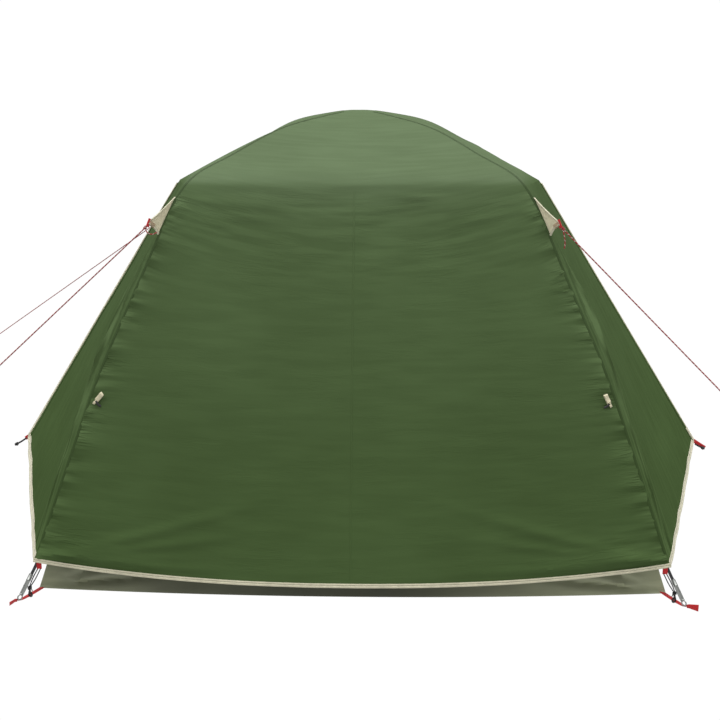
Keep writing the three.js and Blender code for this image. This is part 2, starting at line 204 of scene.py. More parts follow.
GUY_START = (1.057, 1.111)               # where a guy line leaves its tab
GUY_DIAMETER = 0.0042
PEGS = {
    "front_left": (-1.860, -1.100),
    "front_right": (1.770, -1.270),
    "back_left": (-2.270, 1.280),
    "back_right": (1.460, 1.265),
}
PEG_HOOK = (0.014, 0.009)                # height of a guy line's far end, and how far inside its peg it is
TENSIONER_PLACE = 0.8                    # share of the guy line's way down to the peg
TRAY = {"x": 0.972, "y": 1.150, "bow": 0.046, "wall": 0.115, "lean": 0.018}

CORNERS = {"front_left": (-1, -1), "front_right": (1, -1), "back_left": (-1, 1), "back_right": (1, 1)}
SIDES = {"left": -1, "right": 1}
ENDS = {"front": -1, "back": 1}
ALONG = np.array(FOOT) / math.hypot(*FOOT)    # level direction from the centre to a foot
UP = np.array((0.0, 0.0, 1.0))


def diagonal(corner, outline):
    """Points of an outline, in the upright plane of the main pole that stands at a corner."""
    sx, sy = CORNERS[corner]
    run, height = np.moveaxis(np.asarray(outline, float), -1, 0)
    return np.stack((sx * ALONG[0] * run, sy * ALONG[1] * run, height), axis=-1)


def unit(vector):
    vector = np.asarray(vector, float)
    return vector / np.maximum(np.linalg.norm(vector, axis=-1, keepdims=True), 1e-12)


def lerp(a, b, share):
    return np.asarray(a, float) * (1 - share) + np.asarray(b, float) * share


def smoothstep(value, start, end):
    t = np.clip((value - start) / (end - start), 0, 1)
    return t * t * (3 - 2 * t)


def resample(points, count):
    """The given number of points, evenly spaced along a line of points."""
    points = np.asarray(points, float)
    reach = np.r_[0, np.cumsum(np.linalg.norm(np.diff(points, axis=0), axis=1))]
    where = np.linspace(0, reach[-1], count)
    return np.stack([np.interp(where, reach, column) for column in points.T], axis=1)


def spline(points, count):
    """Evenly spaced points on a smooth curve through the given ones."""
    points = np.asarray(points, float)
    knots = np.r_[0, np.cumsum(np.sqrt(np.linalg.norm(np.diff(points, axis=0), axis=1)))]
    slopes = np.gradient(points, knots, axis=0)
    fine = np.linspace(0, knots[-1], 60 * len(points) + 1)
    i = np.clip(np.searchsorted(knots, fine, side="right") - 1, 0, len(knots) - 2)
    step = (knots[i + 1] - knots[i])[:, None]
    s = (fine - knots[i])[:, None] / step
    curve = (
        (2 * s**3 - 3 * s**2 + 1) * points[i]
        + (s**3 - 2 * s**2 + s) * step * slopes[i]
        + (3 * s**2 - 2 * s**3) * points[i + 1]
        + (s**3 - s**2) * step * slopes[i + 1]
    )
    return resample(curve, count)


# ---------------------------------------------------------------- camera
CAMERA = {"place": (0.101, -4.633, 1.597), "pitch": 13.72, "heading": 1.2, "lens": 59.35}
camera_data = bpy.data.cameras.new("camera")
camera_data.sensor_width = 36
camera_data.lens = CAMERA["lens"]
camera_data.clip_end = 200
camera = bpy.data.objects.new("camera", camera_data)
camera.location = CAMERA["place"]
camera.rotation_euler = (math.radians(90 - CAMERA["pitch"]), 0, math.radians(CAMERA["heading"]))
bpy.context.scene.collection.objects.link(camera)
bpy.context.scene.camera = camera


# ---------------------------------------------------------------- mesh building
SAME_PLACE = 2e-5                        # points nearer than this become one vertex


class Surface:
    """Quads gathered from grids of points. Points in one place become one vertex when it is built."""

    def __init__(self):
        self.points = []
        self.quads = []
        self.uvs = []
        self.folds = []
        self.count = 0
        self.area = 0.0

    def grid(self, points, uv=None, ring=False, turned=False, folds=None):
        """Adds rows of points. A ring's last column joins its first. uv is in metres across and along.
        folds gives each point its place along and across the fine creases, and how strong they are."""
        points = np.asarray(points, float)
        rows, columns = points.shape[:2]
        if uv is None:
            uv = flat_uv(points, ring)
        elif ring:
            uv = np.concatenate((uv, uv[:, :1] + (uv[:, -1:] - uv[:, -2:-1])), axis=1)
        index = np.arange(rows * columns).reshape(rows, columns)
        if ring:
            index = np.concatenate((index, index[:, :1]), axis=1)
        corners = [(slice(0, -1), slice(0, -1)), (slice(0, -1), slice(1, None)),
                   (slice(1, None), slice(1, None)), (slice(1, None), slice(0, -1))]
        if turned:
            corners.reverse()
        self.quads.append(np.stack([index[c].ravel() for c in corners], axis=1) + self.count)
        self.uvs.append(np.stack([uv[c].reshape(-1, 2) for c in corners], axis=1))
        self.points.append(points.reshape(-1, 3))
        if folds is not None:
            self.folds.append(folds.reshape(-1, 3))
        self.count += rows * columns
        self.area += area(np.concatenate((points, points[:, :1]), axis=1) if ring else points)
        return self

    def build(self, name, material, body="tent", sharp=50):
        """The mesh object, which rides on the body unless that is None. sharp is in degrees."""
        points = np.concatenate(self.points)
        quads = np.concatenate(self.quads)
        uvs = np.concatenate(self.uvs)
        keys = np.round(points / SAME_PLACE).astype(np.int64)
        _, first, inverse = np.unique(keys, axis=0, return_index=True, return_inverse=True)
        quads = inverse.reshape(-1)[quads]
        faces, loops = [], []
        for quad, uv in zip(quads.tolist(), uvs.tolist()):
            kept = [k for k in range(4) if quad[k] != quad[k - 1]]
            if len(kept) >= 3 and len({quad[k] for k in kept}) == len(kept):
                faces.append([quad[k] for k in kept])
                loops.extend(uv[k] for k in kept)
        mesh = bpy.data.meshes.new(name)
        mesh.from_pydata(points[first].tolist(), [], faces)
        mesh.uv_layers.new(name="UVMap").data.foreach_set("uv", np.array(loops).ravel())
        if self.folds:
            folds = np.concatenate(self.folds)[first].astype(np.float32)
            mesh.attributes.new("folds", "FLOAT_VECTOR", "POINT").data.foreach_set("vector", folds.ravel())
        mesh.materials.append(material)
        mesh.shade_smooth()
        mesh.set_sharp_from_angle(angle=math.radians(sharp))
        made = bpy.data.objects.new(name, mesh)
        bpy.context.scene.collection.objects.link(made)
        if body:
            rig.ride(made, body)
        return made


def flat_uv(points, ring=False):
    """Distances in metres across and along a grid."""
    if ring:
        points = np.concatenate((points, points[:, :1]), axis=1)
    across = np.linalg.norm(np.diff(points, axis=1), axis=2)
    along = np.linalg.norm(np.diff(points, axis=0), axis=2)
    u = np.concatenate((np.zeros((len(points), 1)), np.cumsum(across, axis=1)), axis=1)
    middle = along[:, along.shape[1] // 2]
    v = np.r_[0, np.cumsum(middle)][:, None] + np.zeros_like(u)
    return np.stack((u, v), axis=-1)


def area(grid):
    """The area of a grid of points."""
    a, b, c, d = grid[:-1, :-1], grid[:-1, 1:], grid[1:, 1:], grid[1:, :-1]
    halves = np.cross(b - a, c - a), np.cross(c - a, d - a)
    return float(sum(np.linalg.norm(h, axis=-1).sum() for h in halves) / 2)


def normals(grid):
    """Unit normals of a grid, with ends where points coincide taken from their neighbours."""
    along = np.gradient(grid, axis=0)
    across = np.gradient(grid, axis=1)
    return unit(np.cross(across, along))


def frames(path, up=UP):
    """Tangents and two steady cross directions along a line of points."""
    tangent = unit(np.gradient(path, axis=0))
    side = np.cross(tangent[0], up)
    if np.linalg.norm(side) < 0.05:
        side = np.cross(tangent[0], (1.0, 0.0, 0.0))
    sides = []
    for t in tangent:
        side = unit(side - np.dot(side, t) * t)
        sides.append(side)
    sides = np.array(sides)
    return tangent, sides, np.cross(sides, tangent)


def sweep(path, profile, scale=1.0, up=UP, twist=0.0, capped=True):
    """A closed profile carried along a path, as a ring grid. Its ends close in a point when capped."""
    path = np.asarray(path, float)
    profile = np.asarray(profile, float)
    _, side, over = frames(path, np.asarray(up, float))
    scale = np.broadcast_to(np.asarray(scale, float), (len(path),))
    turn = np.linspace(0, twist, len(path))[:, None]
    x = profile[:, 0] * np.cos(turn) - profile[:, 1] * np.sin(turn)
    y = profile[:, 0] * np.sin(turn) + profile[:, 1] * np.cos(turn)
    x, y = x * scale[:, None], y * scale[:, None]
    grid = path[:, None] + side[:, None] * x[..., None] + over[:, None] * y[..., None]
    if capped:
        ends = [np.repeat(path[i][None, None], len(profile), axis=1) for i in (0, -1)]
        grid = np.concatenate((ends[0], grid, ends[1]))
    return grid


def circle(radius, sides=16):
    angle = np.arange(sides) * 2 * math.pi / sides
    return np.stack((np.cos(angle), np.sin(angle)), axis=1) * radius


def flat_section(width, thickness, rounding=4):
    """The section of a flat strap with rounded edges."""
    outline = []
    for sign in (1, -1):
        for k in range(rounding + 1):
            angle = math.pi * (k / rounding - 0.5)
            x = width / 2 - thickness / 2 + thickness / 2 * math.cos(angle)
            outline.append((sign * x, sign * thickness / 2 * math.sin(angle)))
    return np.array(outline)


def tube(name, path, radius, material, sides=16, **extra):
    """A round rod along a path."""
    grid = sweep(path, circle(radius, sides), **extra)
    return Surface().grid(grid, ring=True).build(name, material)


def strap(name, path, width, thickness, material, **extra):
    """A flat strap along a path."""
    grid = sweep(path, flat_section(width, thickness), **extra)
    return Surface().grid(grid, ring=True).build(name, material)


def part(piece, slot, *nodes):
    """Gives a piece its material slot, and the CAD nodes that it stands for where there are any."""
    if nodes:
        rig.replaces(piece, *nodes)
    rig.slot(piece, slot)
    return piece


def field(points, scale, seed):
    """Smooth noise at points, about -1 to 1, with features of the given size."""
    flat = np.asarray(points, float).reshape(-1, points.shape[-1])
    shift = 17.3 * seed
    values = [noise.noise(Vector((p[0] / scale + shift, p[1] / scale, p[-1] / scale))) for p in flat]
    return np.array(values).reshape(points.shape[:-1])


def ridge(x, y, middle, angle, length, width, height):
    """A soft fold of cloth on a flat pattern: a long low hump at an angle."""
    dx, dy = x - middle[0], y - middle[1]
    along = dx * math.cos(angle) + dy * math.sin(angle)
    across = dy * math.cos(angle) - dx * math.sin(angle)
    return height * np.exp(-((along / length) ** 2) - (across / width) ** 2)


# ---------------------------------------------------------------- materials
class Finish:
    """A material being built from nodes around one Principled shader."""

    def __init__(self, name, roughness, metallic=0.0, **sockets):
        self.material = bpy.data.materials.new(name)
        self.material.use_nodes = True
        self.nodes = self.material.node_tree.nodes
        self.links = self.material.node_tree.links
        self.shader = self.nodes["Principled BSDF"]
        self.shader.inputs["Roughness"].default_value = roughness
        self.shader.inputs["Metallic"].default_value = metallic
        for socket, value in sockets.items():
            self.shader.inputs[socket.replace("_", " ")].default_value = value
        self.coordinates = self.nodes.new("ShaderNodeTexCoord")
        self.normal = None

    def link(self, source, target):
        self.links.new(source, target)

    def attribute(self, name):
        """The outputs of a vertex attribute."""
        node = self.nodes.new("ShaderNodeAttribute")
        node.attribute_name = name
        return node.outputs

    def split(self, vector):
        """A vector's X, Y and Z as outputs."""
        node = self.nodes.new("ShaderNodeSeparateXYZ")
        self.link(vector, node.inputs[0])
        return node.outputs

    def place(self, scale=(1, 1, 1), turn=0.0, source="UV"):
        """Texture coordinates: named ones, or a given output."""
        mapping = self.nodes.new("ShaderNodeMapping")
        mapping.inputs["Scale"].default_value = scale
        mapping.inputs["Rotation"].default_value = (0, 0, turn)
        vector = self.coordinates.outputs[source] if isinstance(source, str) else source
        self.link(vector, mapping.inputs["Vector"])
        return mapping.outputs["Vector"]

    def noise(self, size, detail=3.0, stretch=(1, 1, 1), source="Object"):
        """Noise with features of about the given size in metres."""
        texture = self.nodes.new("ShaderNodeTexNoise")
        texture.inputs["Scale"].default_value = 1.0
        texture.inputs["Detail"].default_value = detail
        scale = tuple(1 / (size * s) for s in stretch)
        self.link(self.place(scale, source=source), texture.inputs["Vector"])
        return texture.outputs["Fac"]

    def stripes(self, pitch, turn=0.0, source="UV"):
        """Threads or ribs of the given pitch in metres."""
        texture = self.nodes.new("ShaderNodeTexWave")
        texture.inputs["Scale"].default_value = math.pi / 10 / pitch
        self.link(self.place(turn=turn, source=source), texture.inputs["Vector"])
        return texture.outputs["Fac"]

    def blend(self, share, low, high, start=0.0, end=1.0):
        """A colour that goes from low to high as share goes from start to end."""
        ramp = self.nodes.new("ShaderNodeValToRGB")
        for element, position, color in zip(ramp.color_ramp.elements, (start, end), (low, high)):
            element.position = position
            element.color = (*color, 1)
        self.link(share, ramp.inputs["Fac"])
        return ramp.outputs["Color"]

    def mix(self, share, first, second, kind="MIX"):
        """Two colours mixed by a share, or combined in another way."""
        node = self.nodes.new("ShaderNodeMix")
        node.data_type = "RGBA"
        node.blend_type = kind
        for socket, value in (("Factor", share), ("A", first), ("B", second)):
            target = next(s for s in node.inputs if s.name == socket and s.enabled)
            if isinstance(value, (tuple, float)):
                target.default_value = (*value, 1) if isinstance(value, tuple) else value
            else:
                self.link(value, target)
        return next(s for s in node.outputs if s.enabled)

    def arithmetic(self, operation, first, second=0.5):
        """A Math node. An operation on one number leaves the second unused."""
        node = self.nodes.new("ShaderNodeMath")
        node.operation = operation
        for socket, value in zip(node.inputs, (first, second)):
            if isinstance(value, float):
                socket.default_value = value
            else:
                self.link(value, socket)
        return node.outputs[0]

    def weave(self, pitch, strength, depth):
        """Bump of warp and weft threads."""
        warp, weft = self.stripes(pitch), self.stripes(pitch, turn=math.pi / 2)
        self.bump(self.arithmetic("MULTIPLY", warp, weft), strength, depth)

    def bump(self, height, strength, distance):
        """Adds to the bumps so far."""
        node = self.nodes.new("ShaderNodeBump")
        node.inputs["Strength"].default_value = strength
        node.inputs["Distance"].default_value = distance
        self.link(height, node.inputs["Height"])
        if self.normal:
            self.link(self.normal, node.inputs["Normal"])
        self.normal = node.outputs["Normal"]

    def done(self, color=None, roughness=None):
        for source, socket in ((color, "Base Color"), (roughness, "Roughness"), (self.normal, "Normal")):
            if source is not None:
                self.link(source, self.shader.inputs[socket])
        return self.material


def shade(color, factor):
    return tuple(c * factor for c in color)


def grey(value):
    return (float(value),) * 3


FOLD_HEIGHT = 0.0022                     # of a crease at full strength
STITCH = {"pitch": 0.0042, "share": 0.68, "half_width": 0.0009}


def taffeta(name, color, roof_color=None):
    """Thin woven polyester with a matte coating, faintly uneven in colour. With a painted light colour it fades to
    that upwards as painted light, and has the sharp creases that the "folds" attribute lays out, in loose groups, with
    painted shade and painted highlight in bands along them."""
    finish = Finish(name, roughness=0.65, Specular_IOR_Level=0.0)
    base = color
    if roof_color:
        folds = finish.attribute("folds")["Vector"]
        strength = finish.split(folds)["Z"]
        lines = finish.noise(0.020, 2.0, (6.0, 1.0, math.inf), folds)
        crest = finish.arithmetic("ABSOLUTE", finish.arithmetic("SUBTRACT", lines, 0.5))
        crest = finish.blend(crest, grey(1), grey(0), 0.0, 0.09)
        groups = finish.noise(0.10, 1.0, (2.0, 1.0, math.inf), folds)
        groups = finish.blend(groups, grey(0), grey(1), 0.45, 0.60)
        grouped = finish.arithmetic("MULTIPLY", strength, groups)
        finish.bump(finish.arithmetic("MULTIPLY", crest, grouped), 1.0, FOLD_HEIGHT)
        # Painted shade and painted highlight: dark and light bands along the folds, as strong as the folds are.
        pleat_light_and_shade = finish.noise(0.026, 2.0, (9.0, 1.0, math.inf), folds)
        pleat_light_and_shade = finish.blend(pleat_light_and_shade, (0.70, 0.70, 0.68), (1.42, 1.38, 1.46), 0.40, 0.60)
        pleat_light_and_shade = finish.mix(strength, grey(1), pleat_light_and_shade)
        # Painted light: towards the lighter colour as far as the "roof" attribute goes.
        base = finish.mix(finish.attribute("roof")["Fac"], color, roof_color)
        base = finish.mix(1.0, base, pleat_light_and_shade, "MULTIPLY")
    cloudy = finish.blend(finish.noise(0.35), (0.93, 0.93, 0.92), (1.05, 1.05, 1.06), 0.3, 0.7)
    finish.weave(0.0006, 0.12, 0.0002)
    finish.bump(finish.noise(0.05, 2.0, (2.4, 0.6, 1), "UV"), 0.22, 0.004)
    finish.bump(finish.noise(0.012, 2.0, (1.6, 1, 1), "UV"), 0.10, 0.0012)
    return finish.done(finish.mix(1.0, base, cloudy, "MULTIPLY"))


def woven_tape(name, color, pitch=0.0012, stitch=None):
    """Tape or webbing with ribs across it, and a row of stitches that far from its edge where wanted."""
    finish = Finish(name, roughness=0.85, Specular_IOR_Level=0.25, Sheen_Weight=0.15)
    worn = finish.blend(finish.noise(0.02), shade(color, 0.86), shade(color, 1.08), 0.3, 0.7)
    ribs = finish.stripes(pitch, turn=math.pi / 2)
    threads = finish.stripes(pitch * 0.8)
    ribbed = finish.mix(0.18, worn, finish.blend(ribs, shade(color, 0.6), shade(color, 1.15)))
    finish.bump(finish.arithmetic("ADD", ribs, threads), 0.35, 0.0003)
    if stitch:
        across, along, _ = finish.split(finish.coordinates.outputs["UV"])
        offset = finish.arithmetic("ABSOLUTE", finish.arithmetic("SUBTRACT", across, float(stitch)))
        on_row = finish.arithmetic("LESS_THAN", offset, STITCH["half_width"])
        dash = finish.arithmetic("FRACT", finish.arithmetic("MULTIPLY", along, 1 / STITCH["pitch"]))
        thread = finish.arithmetic("MULTIPLY", on_row, finish.arithmetic("LESS_THAN", dash, STITCH["share"]))
        ribbed = finish.mix(thread, ribbed, shade(color, 0.45))
        finish.bump(on_row, 0.5, -0.0006)
    return finish.done(ribbed)


def braided_cord(name, color, fleck, diameter):
    """A round braid: two sets of strands that cross, some of them in a fleck colour."""
    finish = Finish(name, roughness=0.7, Specular_IOR_Level=0.3, Sheen_Weight=0.2)
    strands, crossing = (finish.stripes(diameter * 0.8, turn=math.radians(turn)) for turn in (42, -42))
    finish.bump(finish.arithmetic("MAXIMUM", strands, crossing), 0.7, diameter * 0.12)
    marks = finish.arithmetic("GREATER_THAN", finish.stripes(diameter * 2.2, turn=math.radians(38)), 0.88)
    base = finish.blend(strands, shade(color, 0.7), shade(color, 1.1))
    return finish.done(finish.mix(marks, base, fleck))


def plastic(name, color, roughness):
    """Moulded plastic with a fine grain."""
    finish = Finish(name, roughness=roughness, Specular_IOR_Level=0.45)
    tone = finish.blend(finish.noise(0.01), shade(color, 0.85), shade(color, 1.2), 0.3, 0.7)
    finish.bump(finish.noise(0.0008, 2.0), 0.15, 0.0002)
    uneven = finish.blend(finish.noise(0.004), grey(roughness * 0.85), grey(roughness * 1.15))
    return finish.done(tone, uneven)


def metal(name, color, roughness, grain):
    """Plated steel with fine draw marks and duller patches."""
    finish = Finish(name, roughness=roughness, metallic=1.0)
    tone = finish.blend(finish.noise(0.012), shade(color, 0.84), color, 0.3, 0.65)
    dull = finish.noise(0.006, 4.0, grain)
    dull = finish.blend(dull, grey(roughness * 0.8), grey(roughness * 1.5), 0.3, 0.7)
    finish.bump(finish.noise(0.0015, 3.0, grain), 0.12, 0.0002)
    return finish.done(tone, dull)


def fibreglass(name, color):
    """A pultruded rod: long fibres under a thin glossy skin."""
    finish = Finish(name, roughness=0.32, Specular_IOR_Level=0.5, Coat_Weight=0.3, Coat_Roughness=0.2)
    fibres = finish.noise(0.0009, 3.0, (1, 60, 1), "UV")
    finish.bump(fibres, 0.2, 0.0002)
    return finish.done(finish.blend(fibres, shade(color, 0.6), shade(color, 1.6), 0.35, 0.65))


def groundsheet(name, color):
    """Woven polyethylene under a smooth film: a faint tape weave, packing creases and dull patches.
    The "tone" attribute multiplies in painted shade and painted light: darker where less light comes back, most in the
    middle of the end walls under the hem, and lighter towards their right end."""
    finish = Finish(name, roughness=0.5, Specular_IOR_Level=0.35)
    finish.weave(0.0024, 0.25, 0.0003)
    finish.bump(finish.noise(0.06, 3.0, (2, 1, 1), "UV"), 0.35, 0.006)
    tone = finish.blend(finish.noise(0.18), shade(color, 0.88), shade(color, 1.10), 0.3, 0.7)
    # Painted shade and painted light, from the "tone" attribute.
    tone = finish.mix(1.0, tone, finish.attribute("tone")["Color"], "MULTIPLY")
    return finish.done(tone, finish.blend(finish.noise(0.09), grey(0.42), grey(0.6), 0.35, 0.65))


# The fly's cloth low on its walls, and a lighter copy of it that is painted light: the sky's light and sheen on the
# roof.
GREEN = (0.0450, 0.0750, 0.0250)
GREEN_PAINTED_LIGHT = (0.096, 0.135, 0.071)
BEIGE = (0.60, 0.55, 0.38)
TAPE_BEIGE = (0.50, 0.475, 0.345)
RED = (0.42, 0.016, 0.018)
BLACK = (0.012, 0.012, 0.013)
HEM_WIDTH = 0.0130                       # of the tape along the end walls' hems
SIDE_HEM_WIDTH = {"left": 0.024, "right": 0.018}
WEBBING = (0.016, 0.0016)                # width and thickness

FLY = taffeta("fly taffeta", GREEN, GREEN_PAINTED_LIGHT)
# The seams beside the poles: the fly's cloth darkened to 0.72, painted shade along them.
SHADED_SEAM = taffeta("felled seam", shade(GREEN, 0.72), shade(GREEN_PAINTED_LIGHT, 0.72))
INNER = taffeta("inner tent polyester", (0.55, 0.52, 0.37))
TAPE = woven_tape("beige hem tape", TAPE_BEIGE, stitch=HEM_WIDTH * 0.5)
PLAIN_TAPE = woven_tape("beige ribbon", BEIGE, pitch=0.0009)
PATCH = woven_tape("stitched patch", (0.36, 0.27, 0.17), stitch=0.003)
ZIP_TAPE = woven_tape("zip tape", shade(GREEN, 0.5))
STRAP = woven_tape("red webbing", RED, pitch=0.0016)
GUY_CORD = braided_cord("red guy cord", shade(RED, 0.62), (0.42, 0.34, 0.31), GUY_DIAMETER)
ELASTIC = braided_cord("black elastic", BLACK, (0.03, 0.03, 0.03), 0.003)
POLE = fibreglass("black fibreglass", BLACK)
STEEL = metal("plated steel", (0.27, 0.28, 0.265), 0.30, (1, 1, 0.08))
PLASTIC = plastic("black acetal", (0.014, 0.014, 0.014), 0.42)
FLOOR_SHEET = groundsheet("grey groundsheet", (0.235, 0.250, 0.158))


# ---------------------------------------------------------------- guy lines
def guy_route(corner):
    """The ends of a guy line: on its tab, and at the hook of its peg."""
    height, inset = PEG_HOOK
    outward_way = unit(PEGS[corner])
    return diagonal(corner, GUY_START), np.array((*(PEGS[corner] - outward_way * inset), height))


GUYS = {}
for corner in CORNERS:
    start, finish = guy_route(corner)
    path = np.linspace(start, finish, 25)
    line = tube(f"guy_cord_{corner}", path, GUY_DIAMETER / 2, GUY_CORD, sides=10)
    part(line, "guy_cord", f"guy_line_{corner}")
    GUYS[corner] = (start, finish, line, path)


# ---------------------------------------------------------------- shape of the fly
ROOF_ROWS = 56
LEG_ROWS = 150
COLUMNS = 240
GORE_COLUMNS = 72
SIDE_COLUMNS = 40

# Folds drawn at random: how many, and the ranges of their half length, half width and height.
WALL_SAGS = {"count": 34, "length": (0.03, 0.12), "width": (0.009, 0.014), "height": (0.0012, 0.0028)}
WALL_GATHERS = {"count": 48, "length": (0.012, 0.05), "width": (0.006, 0.011), "height": (0.0008, 0.0034)}
GORE_GATHERS = {"count": 30, "length": (0.012, 0.04), "width": (0.003, 0.006), "height": (0.0008, 0.0022)}
GORE_RIDGES = {"count": 18, "length": (0.07, 0.24), "width": 0.011, "height": 0.0075}
CORNER_PULLS = {"angles": (0.02, 0.10, 0.21, 0.36), "length": (0.16, 0.30), "height": 0.0075}

half = [*ROOF_CREASE, *KNEE_CREASE, *LEG_CREASE]
whole = [(-run, height) for run, height in half[:0:-1]] + half
crease_line = spline(whole, 6001)[3000:]
knee_at = int(np.argmin(np.linalg.norm(crease_line - KNEE, axis=1)))
ROOF_RUN = resample(crease_line[:knee_at + 1], ROOF_ROWS + 1)
LEG_RUN = resample(crease_line[knee_at:], LEG_ROWS + 1)
WHOLE_RUN = np.concatenate((ROOF_RUN, LEG_RUN[1:]))
KNEE_POINT = LEG_RUN[0]
HEM_CORNER = LEG_RUN[-1]
LEG_LENGTH = float(np.linalg.norm(np.diff(LEG_RUN, axis=0), axis=1).sum())


def tip(side):
    return np.array((SIDES[side] * TIP[0], 0, TIP[1]))


def brow_end(side):
    return np.array((SIDES[side] * BROW[0], 0, BROW[1]))


def brow_arc(drop, share):
    """A point of the brow pole's arc, from its top at share 0 to its ends at -1 and 1."""
    reach = BROW[0] - drop / 2
    x = reach * np.asarray(share, float)
    fall = (np.hypot(x, BROW_BEND) - BROW_BEND) / (math.hypot(reach, BROW_BEND) - BROW_BEND)
    return np.stack((x, 0 * x, APEX_HEIGHT - drop - (APEX_HEIGHT - BROW[1]) * fall), axis=-1)


def outward(grid, centre=(0, 0, 0.45)):
    """Unit normals that point away from the middle of the tent."""
    n = normals(grid)
    away = grid - np.array(centre)
    flip = np.sign(np.sum(n * away, axis=-1, keepdims=True))
    return n * np.where(flip == 0, 1, flip)


def fold_size(draw, kind):
    """The half length, half width and height of one fold."""
    return [draw.uniform(*kind[measure]) for measure in ("length", "width", "height")]


def wall_creases(x, below, edge, seed):
    """Folds of an end wall: sags under the roof fold, gathers at the poles, pulls at the hem corners."""
    draw = np.random.default_rng(seed)
    height = np.zeros_like(x)
    for _ in range(WALL_SAGS["count"]):
        middle = draw.uniform(-0.55, 0.55)
        depth = 0.03 + 0.25 * draw.beta(1.3, 1.6)
        droop = min(depth / 0.16, 1.2)
        slope = -0.5 * droop * middle + draw.normal(0, 0.05)
        fold = ridge(x, below, (middle, depth - 0.25 * droop * middle**2), slope, *fold_size(draw, WALL_SAGS))
        height += fold * draw.choice((-1, 1, 1))
    for side in (-1, 1):
        near = x * side > 0
        for _ in range(WALL_GATHERS["count"]):
            place = draw.uniform(0.03, LEG_LENGTH - 0.06)
            size = fold_size(draw, WALL_GATHERS)
            centre = draw.uniform(0.008, 0.045)
            height += near * ridge(edge, below, (centre, place), draw.normal(0.12, 0.3), *size)
        for angle in CORNER_PULLS["angles"]:
            reach = draw.uniform(*CORNER_PULLS["length"])
            middle = 0.05 + reach * 0.9 * math.cos(angle), LEG_LENGTH - 0.03 - reach * 0.9 * math.sin(angle)
            width = 0.011 + 0.02 * angle
            height += near * ridge(edge, below, middle, -angle, reach, width, CORNER_PULLS["height"])
    return height


def end_panel(end):
    """The roof and wall between two main poles: its points, their places on the cloth, and its creases."""
    run = WHOLE_RUN
    left, right = diagonal(f"{end}_left", run), diagonal(f"{end}_right", run)
    u = np.linspace(-1, 1, COLUMNS + 1)
    grid = left[:, None] * ((1 - u) / 2)[:, None] + right[:, None] * ((1 + u) / 2)[:, None]

    # The wall bows out between the poles, and its hem hangs down to the middle.
    fall = np.clip((KNEE_POINT[1] - run[:, 1]) / (KNEE_POINT[1] - HEM_CORNER[1]), 0, 1)
    knee_y = ALONG[1] * KNEE_POINT[0]
    middle_y = knee_y + fall * (HEM_MIDDLE[0] - knee_y) + 0.032 * np.sin(math.pi * fall)
    middle_z = run[:, 1] - fall * (HEM_CORNER[1] - HEM_MIDDLE[1])
    bow = np.zeros((len(run), 3))
    legs = slice(ROOF_ROWS, None)
    bow[legs, 1] = ENDS[end] * (middle_y - ALONG[1] * run[:, 0])[legs]
    bow[legs, 2] = (middle_z - run[:, 1])[legs]
    grid = grid + bow[:, None] * (1 - np.abs(u) ** 2.2)[None, :, None]
    share = np.linspace(0, 1, ROOF_ROWS + 1)
    grid[:ROOF_ROWS + 1, :, 2] -= 0.008 * (np.sin(math.pi * share))[:, None] * (1 - u**2)

    # Places on the cloth: below the fold between roof and wall, and in from the nearer pole.
    reach = np.r_[0, np.cumsum(np.linalg.norm(np.diff(run, axis=0), axis=1))]
    below = (reach - reach[ROOF_ROWS])[:, None] + 0 * grid[..., 0]
    x = grid[..., 0]
    edge = (1 - np.abs(u)) * np.abs(left[:, 0])[:, None]
    on_wall = smoothstep(below, 0.0, 0.05)
    flat = np.stack((x, below, 0 * x), axis=-1)

    height = wall_creases(x, below, edge, seed=3 if end == "front" else 4) * on_wall
    height += 0.0035 * field(flat, 0.45, 1) * smoothstep(edge, 0, 0.25) * on_wall
    height += 0.0016 * field(flat * (1, 2.2, 1), 0.13, 2) * smoothstep(edge, 0, 0.15)
    roof_folds = field(flat * (1, 4.0, 1), 0.16, 5)
    height += 0.0022 * roof_folds * (1 - on_wall) * smoothstep(edge, 0, 0.12) * smoothstep(-below, 0.0, 0.1)
    hem_wave = np.sin(x * 31 + 1.3 * np.sin(x * 7)) * smoothstep(below, LEG_LENGTH - 0.16, LEG_LENGTH)
    height += 0.0018 * hem_wave
    height *= smoothstep(edge, 0, 0.012)
    grid = grid + outward(grid) * height[..., None]

    sag = 0.28 * x**2 * (1 - smoothstep(below, 0.10, 0.60))
    upper = 0.22 * on_wall * (1 - smoothstep(below, 0.20, 0.50))
    gathers = 1.2 * np.exp(-edge / 0.045) * on_wall
    pulls = 0.6 * smoothstep(below, LEG_LENGTH - 0.25, LEG_LENGTH - 0.05) * np.exp(-edge / 0.25)
    strength = np.maximum(np.maximum(upper, gathers), np.maximum(pulls, 0.10)) * smoothstep(edge, 0, 0.008)
    return grid, np.stack((x, below), axis=-1), np.stack((x, below + sag, strength), axis=-1)


